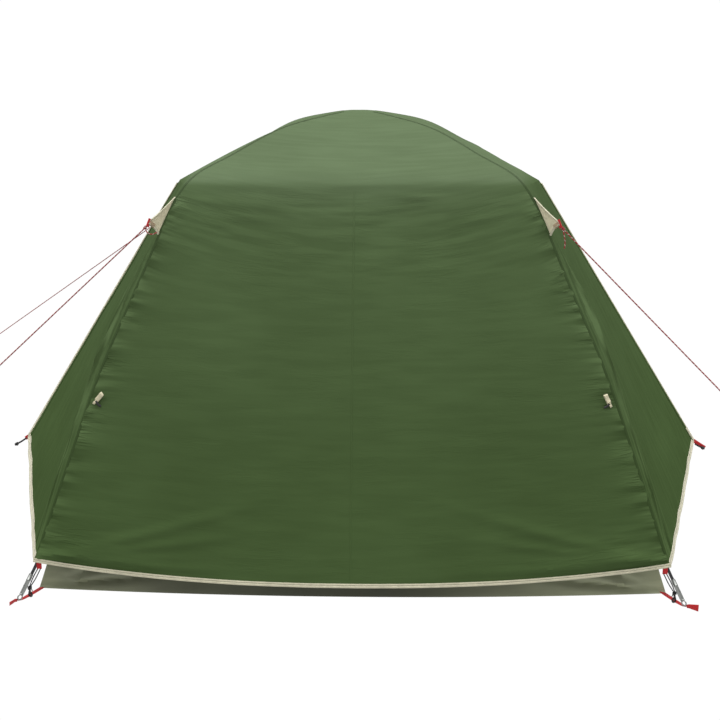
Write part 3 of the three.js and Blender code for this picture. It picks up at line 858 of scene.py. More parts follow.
def gore(side, end):
    """One half of a vestibule, from the main pole's crease to the ridge."""
    crease = diagonal(f"{end}_{side}", LEG_RUN)
    share = np.linspace(0, 1, LEG_ROWS + 1)
    ridge_line = lerp(brow_end(side), tip(side), share[:, None])
    u = np.linspace(0, 1, GORE_COLUMNS + 1)
    grid = lerp(crease[:, None], ridge_line[:, None], u[:, None])
    width = np.linalg.norm(ridge_line - crease, axis=1)[:, None]
    down = share[:, None] * LEG_LENGTH + 0 * u
    edge = u * width
    flat = np.stack((edge, down, 0 * edge), axis=-1)
    draw = np.random.default_rng({"front": 21, "back": 23}[end] + SIDES[side])

    height = -0.014 * np.sin(math.pi * u) * np.sin(math.pi * share)[:, None]
    height += 0.006 * np.sin(math.pi * u) * smoothstep(share, 0.8, 1)[:, None]
    for _ in range(GORE_GATHERS["count"]):
        place = draw.uniform(0.05, LEG_LENGTH - 0.05)
        size = fold_size(draw, GORE_GATHERS)
        height += ridge(edge, down, (draw.uniform(0.006, 0.03), place), draw.normal(-0.3, 0.3), *size)
    for _ in range(GORE_RIDGES["count"]):
        centre = draw.uniform(0.02, 0.20), draw.uniform(0.30, 1.05)
        size = draw.uniform(*GORE_RIDGES["length"]), GORE_RIDGES["width"], GORE_RIDGES["height"]
        height += ridge(edge, down, centre, math.pi / 2 + draw.normal(0.03, 0.06), *size)
    height += 0.012 * np.exp(-((edge - 0.05) / 0.035) ** 2) * smoothstep(down, 0.10, 0.35)
    height *= 0.15 + 0.85 * smoothstep(LEG_LENGTH - down, 0.02, 0.25)
    height += 0.0035 * field(flat * (2.2, 1, 1), 0.30, 7 + SIDES[side])
    height += 0.0012 * field(flat, 0.07, 9 + SIDES[side])
    mask = smoothstep(edge, 0, 0.012) * smoothstep(width - edge, 0, 0.06) * smoothstep(down, 0, 0.05)
    grid = grid + outward(grid) * (height * mask)[..., None]
    strength = np.exp(-((edge - 0.06) / 0.08) ** 2) * smoothstep(down, 0.10, 0.50)
    strength = np.maximum(strength, 0.15) * mask
    return grid, flat[..., :2], np.stack((down, edge, strength), axis=-1)


def side_roof(side):
    """The roof between the crossed poles on one side, over the brow pole, as a front and a back half."""
    share = np.linspace(0, 1, ROOF_ROWS + 1)
    brow = brow_arc(0, SIDES[side] * share)
    v = np.linspace(0, 1, SIDE_COLUMNS + 1)
    halves = []
    for end, seed in (("front", 12), ("back", 14)):
        crease = diagonal(f"{end}_{side}", ROOF_RUN)
        grid = lerp(crease[:, None], brow[:, None], v[:, None])
        width = np.linalg.norm(brow - crease, axis=1)[:, None]
        edge = np.minimum(v, 1 - v) * width
        height = -0.004 * np.sin(math.pi * v) * np.sin(math.pi * share)[:, None]
        height += 0.002 * field(grid * (1, 1, 2), 0.12, seed)
        mask = smoothstep(edge, 0, 0.03) * (1 - smoothstep(share, 0.9, 1))[:, None]
        folds = np.stack((grid[..., 0], grid[..., 1], 0.3 * mask), axis=-1)
        halves.append((grid + outward(grid) * (height * mask)[..., None], folds))
    return halves


def vertex_points(piece):
    return np.array([vertex.co for vertex in piece.data.vertices])


def paint_skylight(piece):
    """How much of the painted light colour each point has: all above the fold to the walls, less further down."""
    points = vertex_points(piece)
    knee_x = ALONG[0] * KNEE_POINT[0]
    beyond = np.clip((np.abs(points[:, 0]) - knee_x) / (BROW[0] - knee_x), 0, 1)
    below = KNEE_POINT[1] + beyond * (BROW[1] - KNEE_POINT[1]) - points[:, 2]
    middle = np.clip(1 - 2.1 * points[:, 0] ** 2, 0.1, 1)
    # Painted light: the walls lighter upwards, and lighter still just under the fold towards the middle.
    glow = 0.05 + 0.20 * smoothstep(points[:, 2], 0.15, 1.05)
    glow = glow + 0.50 * middle * np.exp(-np.maximum(below, 0) / 0.080)
    share = glow + (1 - glow) * smoothstep(-below, -0.002, 0.020)
    # The "roof" attribute carries this painted light.
    piece.data.attributes.new("roof", "FLOAT", "POINT").data.foreach_set("value", share.astype(np.float32))
    return piece


panels = {end: end_panel(end) for end in ENDS}
gores = {(side, end): gore(side, end) for side in SIDES for end in ENDS}

fly_surface = Surface()
for end, (grid, uv, folds) in panels.items():
    fly_surface.grid(grid, uv, turned=end == "front", folds=folds)
for side in SIDES:
    for number, (grid, folds) in enumerate(side_roof(side)):
        fly_surface.grid(grid, turned=(side == "right") == (number == 0), folds=folds)
    grid, uv, folds = gores[side, "back"]
    fly_surface.grid(grid, uv, turned=side == "left", folds=folds)
fly = paint_skylight(fly_surface.build("fly", FLY, sharp=34))
part(fly, "fly_green", *[f"fly_{name}_{end}" for name in ("roof", "wall") for end in ENDS],
     *[f"{name}_{side}" for name in ("fly_side", "vestibule_gore") for side in SIDES])


# ---------------------------------------------------------------- vestibule doors
DOOR_FOLD = 0.10                         # how wide a band of the door bends as it turns


def on_door(piece, side):
    """Lets a piece turn with a door, from nothing on the line the door folds along to in full beside it."""
    top, corner = brow_end(side), diagonal(f"front_{side}", HEM_CORNER)
    down = unit(corner - top)
    across = tip(side) - top
    across = unit(across - np.dot(across, down) * down)
    middle = lerp(top, corner, 0.5)
    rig.blend(piece, "tent", f"door_{side}", start=middle, end=middle + across * DOOR_FOLD)
    return piece


doors = {}
for side in SIDES:
    grid, uv, folds = gores[side, "front"]
    cloth = Surface().grid(grid, uv, turned=side == "right", folds=folds)
    door = paint_skylight(cloth.build(f"door_cloth_{side}", FLY, body=None, sharp=34))
    doors[side] = on_door(door, side), cloth.area
    part(door, "fly_green", f"vestibule_door_{side}")


# ---------------------------------------------------------------- hem tape, ridge piping and seams
def tape_section(width, thickness):
    """Tape folded over an edge: places inwards from the edge and outwards from the cloth."""
    w, t = width, thickness / 2
    outer = [(w, 0.4 * t), (w, 1.3 * t), (0.62 * w, 1.7 * t), (0.54 * w, 1.6 * t), (0.50 * w, 1.1 * t)]
    lower = [(0.46 * w, 1.6 * t), (0.38 * w, 1.9 * t), (0.10 * w, 1.9 * t), (-0.02 * w, 1.1 * t)]
    inner = [(-0.04 * w, 0.0), (-0.02 * w, -1.1 * t), (0.10 * w, -1.8 * t), (w, -1.3 * t), (w, -0.4 * t)]
    return np.array(outer + lower + inner)


def band(name, section, line, across, lift, material, body, sharp):
    """A section of (across, lift) places carried along a line, with closed ends."""
    grid = line[:, None] + across[:, None] * section[:, 0, None] + lift[:, None] * section[:, 1, None]
    ends = [np.repeat(grid[i].mean(axis=0)[None, None], len(section), axis=1) for i in (0, -1)]
    grid = np.concatenate((ends[0], grid, ends[1]))
    return Surface().grid(grid, ring=True).build(name, material, body, sharp)


def edge_tape(name, edge, inside, away, material=TAPE, body="tent", width=HEM_WIDTH, thickness=0.0024):
    """Tape folded over a cloth's edge, given its points, the way into the cloth and the way off its face."""
    section = tape_section(width, thickness)
    return band(name, section, edge, unit(inside), unit(away), material, body, sharp=60)


def strip(name, line, across, lift, width, material, body="tent", thickness=0.0012):
    """A flat band that lies on a surface along a line, lifted a little off it."""
    across, lift = unit(across), unit(lift)
    section = flat_section(width, thickness, rounding=2)
    return band(name, section, line + lift * thickness * 0.6, across, lift, material, body, sharp=50)


for end in ENDS:
    grid = panels[end][0]
    part(edge_tape(f"hem_tape_{end}", grid[-1], grid[-5] - grid[-1], outward(grid)[-1]), "tape_beige")
for (side, end), (grid, _, _) in gores.items():
    hem = edge_tape(f"hem_tape_{side}_{end}", grid[-1], grid[-5] - grid[-1], outward(grid)[-1],
                    body=None if end == "front" else "tent", width=SIDE_HEM_WIDTH[side])
    if end == "front":
        on_door(hem, side)
    part(hem, "tape_beige")

PIPING = {"width": 0.022, "thickness": 0.0040, "lift": 0.0016}
TIP_BINDING = {"width": 0.024, "thickness": 0.003, "lift": 0.003}
FLAP = {"width": 0.028, "thickness": 0.0016}
ZIP = {"in": 0.012, "width": 0.024, "coil": 0.0022}
for side in SIDES:
    # The zip runs up the ridge. Its flap belongs to the door. The beige piping is the left door's own, and on
    # the right it is on the part that stays.
    door_grid, fixed_grid = gores[side, "front"][0], gores[side, "back"][0]
    door_away, fixed_away = outward(door_grid), outward(fixed_grid)
    into_door = unit(door_grid[:, -4] - door_grid[:, -1])
    into_gore = unit(fixed_grid[:, -4] - fixed_grid[:, -1])
    rows = slice(2, -1)
    piped_door = side == "left"

    edge, away, into = fixed_grid, fixed_away, into_gore
    if piped_door:
        edge, away, into = door_grid, door_away, into_door
    edge, away, into = edge[rows, -1], away[rows, -1], into[rows]
    piping = edge_tape(f"ridge_piping_{side}", edge + away * PIPING["lift"], into, away, TAPE,
                       None if piped_door else "tent", PIPING["width"], PIPING["thickness"])
    part(piping, "tape_beige")

    flap_in = FLAP["width"] / 2 + (PIPING["width"] if piped_door else 0)
    flap = strip(f"zip_flap_{side}", door_grid[rows, -1] + into_door[rows] * flap_in, into_door[rows],
                 door_away[rows, -3], FLAP["width"], FLY, None, FLAP["thickness"])
    part(flap, "fly_green")
    zip_line = fixed_grid[rows, -1] + into_gore[rows] * ZIP["in"]
    zip_away = fixed_away[rows, -3]
    part(strip(f"zip_tape_{side}", zip_line, into_gore[rows], zip_away, ZIP["width"], ZIP_TAPE), "fly_green")
    coil = tube(f"zip_coil_{side}", zip_line + zip_away * ZIP["coil"], ZIP["coil"], PLASTIC, sides=8)
    part(coil, "black_plastic")
    on_door(flap, side)
    if piped_door:
        on_door(piping, side)
    else:
        # The end of the fixed side's tape comes round the tip on to the door.
        last = slice(-9, -1)
        away = door_away[last, -1]
        binding = edge_tape(f"tip_binding_{side}", door_grid[last, -1] + away * TIP_BINDING["lift"],
                            into_door[last], away, body=None, width=TIP_BINDING["width"],
                            thickness=TIP_BINDING["thickness"])
        part(on_door(binding, side), "tape_beige")

CENTRE_SEAM = {"width": 0.006, "thickness": 0.0005}
POLE_SEAM = {"width": 0.008, "thickness": 0.0007, "in": 0.005}
for end in ENDS:
    grid = panels[end][0]
    away = outward(grid)
    middle = COLUMNS // 2
    on_wall = slice(ROOF_ROWS + 3, -3)
    line = grid[on_wall, middle]
    level = np.tile((1.0, 0, 0), (len(line), 1))
    seam = strip(f"centre_seam_{end}", line, level, away[on_wall, middle], CENTRE_SEAM["width"], FLY,
                 thickness=CENTRE_SEAM["thickness"])
    part(paint_skylight(seam), "fly_green")
    for side, sign in SIDES.items():
        # The felled seam beside each pole, from under the apex to the hem, darkened as painted shade.
        column = 0 if sign < 0 else -1
        into = unit(grid[:, middle] - grid[:, column])
        line = diagonal(f"{end}_{side}", WHOLE_RUN) + into * POLE_SEAM["in"]
        kept = slice(6, -3)
        seam = strip(f"pole_seam_{end}_{side}", line[kept], into[kept], away[kept, column + sign * -2],
                     POLE_SEAM["width"], SHADED_SEAM, thickness=POLE_SEAM["thickness"])
        part(paint_skylight(seam), "fly_green")


# ---------------------------------------------------------------- guy-out tabs, knots and ties
def knot(name, place, axis, cord_radius, material, turns=2.5):
    """A few tight turns of cord round a spot, with the ends tucked through the middle."""
    angle = np.linspace(0, turns * 2 * math.pi, int(turns * 14))
    radius = cord_radius * 1.9
    pitch = cord_radius * 1.7
    rise = pitch * (angle / (2 * math.pi))
    local = np.stack((radius * np.cos(angle), radius * np.sin(angle), rise), axis=1)
    local[:, 2] -= local[:, 2].mean()
    tuck = np.array([(0, 0, local[-1, 2] + cord_radius), (0, 0, 0), (0, 0, local[0, 2] - cord_radius)])
    local = spline(np.concatenate((local, tuck)), len(local) * 2)
    tangent, side, over = frames(np.array([(0.0, 0.0, 0.0), axis]))
    basis = np.stack((side[0], over[0], tangent[0]))
    return tube(name, np.asarray(place) + local @ basis, cord_radius, material, sides=8)


# The seam goes from 52 to 194 mm down the crease from the knee, which is straight for 364.7 mm there.
GUY_TAB = {"seam": (52 / 364.7, 194 / 364.7), "off_seam": 0.002, "outer": (1.052, 1.120), "outer_half": 0.007,
           "drawn_in": 0.006, "half_thickness": 0.0013}
GUY_TRIM = {"width": 0.007, "thickness": 0.0034}
PATCH_PLACE = {"from": 0.026, "to": 0.006, "width": 0.015, "lift": 0.0016}
# A guy line's free end past its knot: steps inwards and up. The front left one sticks out, the others hang.
HANGING = [(-0.003, -0.018), (-0.007, -0.040), (-0.006, -0.062)]
GUY_TAIL = {"front_left": [(0.008, -0.015), (0.024, -0.020), (0.040, -0.013)]}


def guy_triangle(corner, flat, across):
    """The doubled cloth of a tab: two layers that meet round its rim, and wave a little."""
    rows, columns = flat.shape[:2]
    w, t = np.linspace(0, 1, columns), np.linspace(-1, 1, rows)
    wave = 0.0015 * np.sin(w * 5)[None, :] * t[:, None]
    rim = np.minimum(np.minimum(w, 1 - w)[None, :] * 30, (1 - np.abs(t))[:, None] * 12)
    surface = Surface()
    for sign in (1, -1):
        lift = sign * GUY_TAB["half_thickness"] * np.clip(rim, 0, 1) + wave
        surface.grid(diagonal(corner, flat) + across * lift[..., None], turned=sign < 0)
    return surface.build(f"guy_triangle_{corner}", PLAIN_TAPE, sharp=60)


def guy_tab(corner):
    """A triangle sewn into the crease below the knee, with its edges bound, and its webbing loop and knot."""
    upper, lower = (lerp(KNEE, LEG_CREASE[0], share) for share in GUY_TAB["seam"])
    down = unit(lower - upper)
    out = np.array((-down[1], down[0]))
    across = np.cross(diagonal(corner, (1, 0)), UP)
    t, w = np.linspace(0, 1, 25)[:, None], np.linspace(0, 1, 17)
    seam = lerp(upper, lower, t) + out * GUY_TAB["off_seam"]
    end = np.array(GUY_TAB["outer"]) + down * GUY_TAB["outer_half"] * (2 * t - 1)
    drawn_in = GUY_TAB["drawn_in"] * np.sin(math.pi * w)[None, :, None] * (-down * (2 * t - 1) ** 3)[:, None]
    flat = lerp(seam[:, None], end[:, None], w[:, None]) + drawn_in
    part(guy_triangle(corner, flat, across), "tape_beige", f"guy_tab_{corner}")

    for edge, line, inward in (("upper", flat[0], down), ("lower", flat[-1], -down)):
        path = diagonal(corner, line)
        inside = np.tile(diagonal(corner, inward), (len(path), 1))
        trim = edge_tape(f"guy_trim_{edge}_{corner}", path, inside, np.tile(across, (len(path), 1)),
                         width=GUY_TRIM["width"], thickness=GUY_TRIM["thickness"])
        part(trim, "tape_beige")

    tip_place = diagonal(corner, GUY_TAB["outer"])
    toward = unit(diagonal(corner, GUY_START) - tip_place)
    back = diagonal(corner, out)
    patch_line = np.linspace(tip_place - back * PATCH_PLACE["from"], tip_place - back * PATCH_PLACE["to"], 9)
    for face, sign in (("front", 1), ("back", -1)):
        patch = strip(f"guy_patch_{face}_{corner}", patch_line + across * sign * PATCH_PLACE["lift"],
                      np.tile(diagonal(corner, down), (9, 1)), np.tile(across * sign, (9, 1)),
                      PATCH_PLACE["width"], PATCH)
        part(patch, "tape_beige")
    loop = [tip_place + toward * reach for reach in (-0.012, 0, 0.010, 0.016)]
    part(strap(f"guy_loop_{corner}", spline(loop, 9), 0.013, 0.0032, STRAP, up=across), "red_webbing")

    start, finish, _, _ = GUYS[corner]
    away = unit(finish - start)
    place = start + away * 0.012
    part(knot(f"guy_knot_{corner}", place, away, GUY_DIAMETER / 2, GUY_CORD), "guy_cord")
    sx, sy = CORNERS[corner]
    route = [place]
    route += [place + (-sx * inwards, sy * 0.008, rise) for inwards, rise in GUY_TAIL.get(corner, HANGING)]
    part(tube(f"guy_tail_{corner}", spline(route, 16), GUY_DIAMETER * 0.45, GUY_CORD, sides=10), "guy_cord")


for corner in CORNERS:
    guy_tab(corner)


TIE_HEIGHT = 0.588
TIE_COLUMN = 4                           # how many columns of the wall's grid it sits in from the crease
# Places of a tie's two ribbon ends along the ribbon and out from the wall, and the ribbon's width there.
TIE_PARTS = {
    "fold": ([(-0.003, 0.001), (0.008, 0.003), (0.022, 0.005), (0.031, 0.009), (0.027, 0.013), (0.014, 0.011),
              (0.003, 0.014)], 0.013),
    "tail": ([(0.0, 0.001), (-0.004, 0.004), (-0.009, 0.009), (-0.015, 0.008)], 0.008),
}
# How far a tie's ribbon points sideways along the wall, and how far upwards.
TIE_LIE = {"front_left": (0.75, 0.60), "front_right": (-0.35, 0.90)}


def tie_ribbon(corner):
    """A folded ribbon with a small toggle, sewn on the wall beside the crease, to hold a rolled door."""
    row = ROOF_ROWS + int(np.argmin(np.abs(LEG_RUN[:, 1] - TIE_HEIGHT)))
    grid = panels["front"][0]
    sign = CORNERS[corner][0]
    column = TIE_COLUMN if sign < 0 else -1 - TIE_COLUMN
    base, out = grid[row, column], outward(grid)[row, column]
    sideways, upwards = TIE_LIE[corner]
    level = unit(np.cross(UP, out) * sideways + UP * upwards)
    rise = np.cross(out, level)
    for name, (route, width) in TIE_PARTS.items():
        points = [base + level * along + out * lift + rise * (0.15 * along) for along, lift in route]
        ribbon = strap(f"tie_{name}_{corner}", spline(points, 28), width, 0.0010, PLAIN_TAPE,
                       twist=0.35, up=out)
        part(ribbon, "tape_beige")
    drop = unit(rise * sign - UP)
    toggle = [base + out * 0.004 - level * 0.004, base + out * 0.007 + drop * 0.012,
              base + out * 0.005 + drop * 0.024 + level * 0.006]
    part(tube(f"tie_toggle_{corner}", spline(toggle, 9), 0.0034, PLASTIC), "black_plastic")


for corner in TIE_LIE:
    tie_ribbon(corner)


# ---------------------------------------------------------------- poles, elbows and feet
def offset_outline(outline, depth):
    """An outline moved inwards and down at right angles to itself."""
    outline = np.asarray(outline, float)
    ends = np.concatenate((outline[:1], outline, outline[-1:]))
    step = unit(ends[2:] - ends[:-2])
    return outline + depth * np.stack((step[:, 1], -step[:, 0]), axis=1)


def towards(start, end, distance):
    """The point a distance along the straight line from one point to another."""
    start, end = np.asarray(start, float), np.asarray(end, float)
    return start + unit(end - start) * distance


ELBOW = {"arm": 0.060, "radius": 0.0065, "grip": 0.032}
FOOT_TUBE = {"length": 0.070, "bore": 0.0052, "grip": 0.016, "lift": 0.020}
# The foot tube's outline as (height, radius), up its outside to the mouth and a little way down its bore.
FOOT_PROFILE = [(0.0, 0.0045), (0.0006, 0.0062), (0.004, 0.0065), (0.0045, 0.0060), (0.0065, 0.0060),
                (0.007, 0.0065), (0.048, 0.0065), (0.0485, 0.0070), (0.051, 0.0070), (0.0515, 0.0065),
                (0.0685, 0.0065), (FOOT_TUBE["length"], 0.0062), (FOOT_TUBE["length"], FOOT_TUBE["bore"]),
                (0.058, FOOT_TUBE["bore"])]
FOOT_RING = {"below": 0.007, "radius": 0.008, "wire": 0.002}
FOOT_PIN = {"height": 0.030, "half_length": 0.0078, "radius": 0.0017}
STRAIGHT_END = 0.106                     # how far up from its ring a leg is straight
BEND_END = 0.110                         # how far from an elbow's corner a pole starts to curve
roof_line = offset_outline([*ROOF_CREASE, KNEE], POLE_DEPTH)
leg_line = offset_outline([KNEE, *LEG_CREASE], POLE_DEPTH)
elbow_corner = np.array((KNEE[0] - 0.010, KNEE[1] - 0.011))
foot_point = np.array((math.hypot(*FOOT), FOOT_TUBE["lift"]))

inside = ELBOW["arm"] - ELBOW["grip"]
roof_end = towards(elbow_corner, roof_line[3], inside)
leg_start = towards(elbow_corner, leg_line[1], inside)
leg_end = towards(foot_point, leg_line[4], FOOT_TUBE["length"] - FOOT_TUBE["grip"])
for number, (corner, opposite) in enumerate((("front_left", "back_right"), ("front_right", "back_left")), 1):
    arm = [roof_end, towards(elbow_corner, roof_line[3], BEND_END), *roof_line[3:0:-1]]
    top = np.array((0, 0, APEX_HEIGHT - POLE_DEPTH - number * POLE_SPACING))
    route = [*diagonal(corner, arm), top, *diagonal(opposite, arm[::-1])]
    pole = tube(f"roof_pole_{number}", spline(route, 121), POLE_RADIUS, POLE)
    part(pole, "pole_black", f"main_pole_roof_{number}")


def foot(corner):
    """The steel tube that a leg stands in, with its ring and the pin across it."""
    base = diagonal(corner, foot_point)
    up = unit(diagonal(corner, leg_line[4]) - base)
    across = unit(np.cross(up, diagonal(corner, (1, 0))))
    inward = np.cross(across, up)
    ring = circle(1.0, 24)
    wall = [base + up * height + radius * (ring[:, :1] * across + ring[:, 1:] * inward)
            for height, radius in FOOT_PROFILE]
    bottom = np.repeat(base[None, None], len(ring), axis=1)
    socket = Surface().grid(np.concatenate((bottom, wall)), ring=True)
    angle = np.linspace(0, 2 * math.pi, 33)[:, None]
    eye = base - up * FOOT_RING["below"] + FOOT_RING["radius"] * (np.cos(angle) * up + np.sin(angle) * inward)
    socket.grid(sweep(eye, circle(FOOT_RING["wire"], 10), capped=False, up=across), ring=True)
    part(socket.build(f"foot_tube_{corner}", STEEL), "steel", f"pole_foot_{corner}")
    pin = [base + up * FOOT_PIN["height"] + inward * FOOT_PIN["half_length"] * end for end in (-1, 0, 1)]
    part(tube(f"foot_pin_{corner}", pin, FOOT_PIN["radius"], STEEL, sides=12), "steel")


for corner in CORNERS:
    bend = towards(elbow_corner, leg_line[1], BEND_END)
    straight = towards(foot_point, leg_line[4], STRAIGHT_END)
    route = diagonal(corner, [leg_start, bend, *leg_line[1:4], straight, leg_end])
    leg = tube(f"leg_pole_{corner}", spline(route, 91), POLE_RADIUS, POLE)
    part(leg, "pole_black", f"main_pole_leg_{corner}")

    bend_start = ELBOW["arm"] * 0.35
    route = [towards(elbow_corner, end, reach) for end, reach in
             ((roof_line[3], ELBOW["arm"]), (roof_line[3], bend_start),
              (leg_line[1], bend_start), (leg_line[1], ELBOW["arm"]))]
    swell = 1 + 0.06 * (np.abs(np.linspace(-1, 1, 41)) > 0.93)
    elbow = spline(diagonal(corner, route), 41)
    elbow = tube(f"elbow_tube_{corner}", elbow, ELBOW["radius"], STEEL, sides=20, scale=swell)
    part(elbow, "steel", f"knee_elbow_{corner}")
    foot(corner)

brow = tube("brow_rod", brow_arc(POLE_DEPTH, np.linspace(-0.985, 0.985, 81)), POLE_RADIUS, POLE)
part(brow, "pole_black", "brow_pole")
frame["nodes"]["apex_clip"].data.materials.clear()
frame["nodes"]["apex_clip"].data.materials.append(PLASTIC)


# ---------------------------------------------------------------- groundsheet tray
TRAY_COLUMNS = 81
FLARE = 0.017                            # how far the foot of the walls is drawn out by the corner straps
UNDERSIDE = 0.0012                       # height of the groundsheet's surface
# Folds that fan from each corner of a tray wall: their angle, and how deep they are.
TRAY_FOLDS = ((0.14, 0.0150), (0.40, 0.0130), (0.80, 0.0080))
TRAY_FOLD_LENGTH = 0.20


def tray_edge(sign, inset, height):
    s = np.linspace(-1, 1, TRAY_COLUMNS)
    x = s * (TRAY["x"] - inset)
    y = sign * (TRAY["y"] - inset + TRAY["bow"] * (1 - s**2))
    return np.stack((x, y, np.full(TRAY_COLUMNS, height)), axis=1)


def tray_wall(foot_line, top_line, out, seed):
    """A low wall of the tray, leaning in, with folds that fan from its corners."""
    rows = np.linspace(0, 1, 15)[:, None, None]
    grid = lerp(foot_line[None], top_line[None], rows)
    along = np.r_[0, np.cumsum(np.linalg.norm(np.diff(foot_line, axis=0), axis=1))]
    up = rows[..., 0] * TRAY["wall"] + 0 * along
    height = 0.0022 * field(np.stack((along + 0 * up, up * 2, 0 * up), axis=-1), 0.16, seed)
    for end_place in (0.0, along[-1]):
        near = np.abs(along - end_place)[None] + 0 * up
        for angle, deep in TRAY_FOLDS:
            reach = TRAY_FOLD_LENGTH
            middle = 0.75 * reach * math.cos(angle) + 0.01, 0.75 * reach * math.sin(angle)
            height = height + ridge(near, up, middle, angle, reach, 0.009, -deep)
    mask = smoothstep(rows[..., 0], 0, 0.12) * smoothstep(np.minimum(along, along[-1] - along), 0, 0.01)[None]
    return grid + out * (height * mask)[..., None]


def paint_tray_light_and_shade(piece):
    """Paints shade on the outsides of the end walls towards their middle, and painted light towards their right end,
    and leaves the rest as it is.
    """
    points = vertex_points(piece)
    across = points[:, 0] / TRAY["x"]
    # Painted shade in the middle, under the hem, and painted light towards the right end.
    tone = 0.26 + 0.75 * across**2 + 0.45 * smoothstep(across, 0.05, 0.75)
    tone = 1 + (tone - 1) * smoothstep(np.abs(points[:, 1]), 1.10, 1.14)
    tone = np.repeat(tone[:, None], 3, axis=1).astype(np.float32)
    piece.data.attributes.new("tone", "FLOAT_VECTOR", "POINT").data.foreach_set("vector", tone.ravel())


tray = Surface()
front_foot, back_foot = tray_edge(-1, -FLARE, UNDERSIDE), tray_edge(1, -FLARE, UNDERSIDE)
share = np.linspace(0, 1, 61)[:, None, None]
ground = lerp(front_foot[None], back_foot[None], share)
lift = 0.0016 * (field(ground * (1, 1, 0), 0.22, 31) + 1) * np.sin(math.pi * share[..., 0]) ** 0.5
lift = lift * np.sin(math.pi * np.linspace(0, 1, TRAY_COLUMNS)) ** 0.5
ground[..., 2] += np.clip(lift, 0, 0.004)
tray.grid(ground)
for sign, foot_line, seed in ((-1, front_foot, 32), (1, back_foot, 33)):
    top_line = tray_edge(sign, TRAY["lean"], TRAY["wall"])
    tray.grid(tray_wall(foot_line, top_line, np.array((0, float(sign), 0)), seed), turned=sign < 0)
for sign, seed in ((-1, 34), (1, 35)):
    foot_line = ground[:, 0 if sign < 0 else -1]
    y = foot_line[:, 1] * (TRAY["y"] - TRAY["lean"]) / (TRAY["y"] + FLARE)
    top_line = np.stack((0 * y + sign * (TRAY["x"] - TRAY["lean"]), y, 0 * y + TRAY["wall"]), axis=1)
    tray.grid(tray_wall(foot_line, top_line, np.array((float(sign), 0, 0)), seed), turned=sign > 0)
tray_piece = tray.build("groundsheet", FLOOR_SHEET, sharp=40)
paint_tray_light_and_shade(tray_piece)
part(tray_piece, "floor_grey", "floor_tray")


# ---------------------------------------------------------------- corner straps, elastics and hooks
NARROW = 0.62                            # share of its width that a strap has in its foot's ring
# A strap's free end: how far it turns aside and goes forward, and its width as a share of the strap's.
STRAP_TAIL = {"left": (-0.002, 0.20, 0.80), "right": (0.022, 0.10, 1.35)}


def foot_strap(corner, on_strap):
    """The webbing from the tray's corner through the foot's ring, and its free end past it."""
    sx, sy = CORNERS[corner]
    lower = [(-0.10, 0.012), (0.02, 0.004), (0.25, 0.0016), (0.5, 0.0014), (0.70, 0.0024), (0.80, 0.0060)]
    lower = [on_strap(*place) for place in lower]
    section = flat_section(*WEBBING)
    narrowing = np.concatenate((np.full(40, 1.0), np.linspace(1.0, NARROW, 20)))
    webbing = Surface().grid(sweep(spline(lower, 60), section, narrowing), ring=True)
    aside, forward, end_width = STRAP_TAIL["right" if sx > 0 else "left"]
    tail = [on_strap(0.80, 0.0062)]
    for share in (0.12, 0.55, 1.0):
        tail.append(on_strap(0.84 + forward * share, 0.010) + (sx * aside * share, 0, 0))
    widening = np.linspace(NARROW, end_width, 30)
    webbing.grid(sweep(spline(tail, 30), section, widening, up=unit((0.0, sy, 0.35))), ring=True)
    part(webbing.build(f"foot_strap_{corner}", STRAP), "red_webbing", f"corner_strap_{corner}")


def fly_hook(corner, top, bottom):
    """The fly corner's two strands of elastic, their knot with its ends, and the hook on the strap."""
    sx, sy = CORNERS[corner]
    level = unit(np.array((sx * 0.9, -sy * 0.44, 0)))
    hook_top = bottom + UP * 0.026
    strands = Surface()
    for sign in (-1, 1):
        start = top - UP * 0.011 + level * 0.005 * sign
        middle = lerp(start, hook_top, 0.55) + level * 0.003 * sign
        path = spline([start, middle, hook_top + level * 0.0015 * sign], 24)
        strands.grid(sweep(path, circle(0.0017, 10)), ring=True)
    part(strands.build(f"hook_elastic_{corner}", ELASTIC, sharp=60), "black_elastic", f"corner_hook_{corner}")
    down = unit(bottom - hook_top)
    tie = knot(f"elastic_knot_{corner}", hook_top + down * 0.002, down, 0.0024, ELASTIC, turns=2)
    part(tie, "black_elastic")
    for number, (aside, drop) in enumerate(((0.016, 0.004), (-0.010, 0.012)), 1):
        tail = [hook_top, hook_top + level * aside * 0.5 - UP * drop * 0.2,
                hook_top + level * aside - UP * drop]
        tail = tube(f"elastic_tail_{number}_{corner}", spline(tail, 12), 0.0013, ELASTIC, sides=8)
        part(tail, "black_elastic")
    bend = [hook_top + down * 0.003, hook_top + down * 0.010]
    angle = np.linspace(0.2 * math.pi, 1.75 * math.pi, 26)[::-1, None]
    curl = bottom - down * 0.002 + 0.0065 * (np.cos(angle) * level - np.sin(angle) * down)
    route = np.concatenate((resample(bend, 6), resample(curl, 20)))[::2]
    hook = strap(f"strap_hook_{corner}", spline(route, 40), 0.0075, 0.0032, PLASTIC, up=np.cross(level, down))
    part(hook, "black_plastic")


for corner, (sx, sy) in CORNERS.items():
    tray_end = np.array((sx * (TRAY["x"] + 0.005), sy * (TRAY["y"] + 0.008), 0))
    foot_end = np.array((sx * (FOOT[0] + 0.023), sy * (FOOT[1] + 0.036), 0))

    def on_strap(share, height):
        """A place over the line of the strap, from the tray's corner at share 0 to past the foot at 1."""
        return lerp(tray_end, foot_end, share) + UP * height

    foot_strap(corner, on_strap)
    top = diagonal(corner, (1.562, 0.102)) + np.array((-sx * 0.012, sy * 0.004, 0))
    tab = spline([top + UP * 0.010, top, top - UP * 0.012], 9)
    tab = strap(f"fly_corner_tab_{corner}", tab, 0.016, 0.0028, STRAP, up=np.array((0, float(sy), 0)))
    part(tab, "red_webbing")
    fly_hook(corner, top, on_strap(0.52, 0.007) + np.array((-sx * 0.011, 0, 0)))


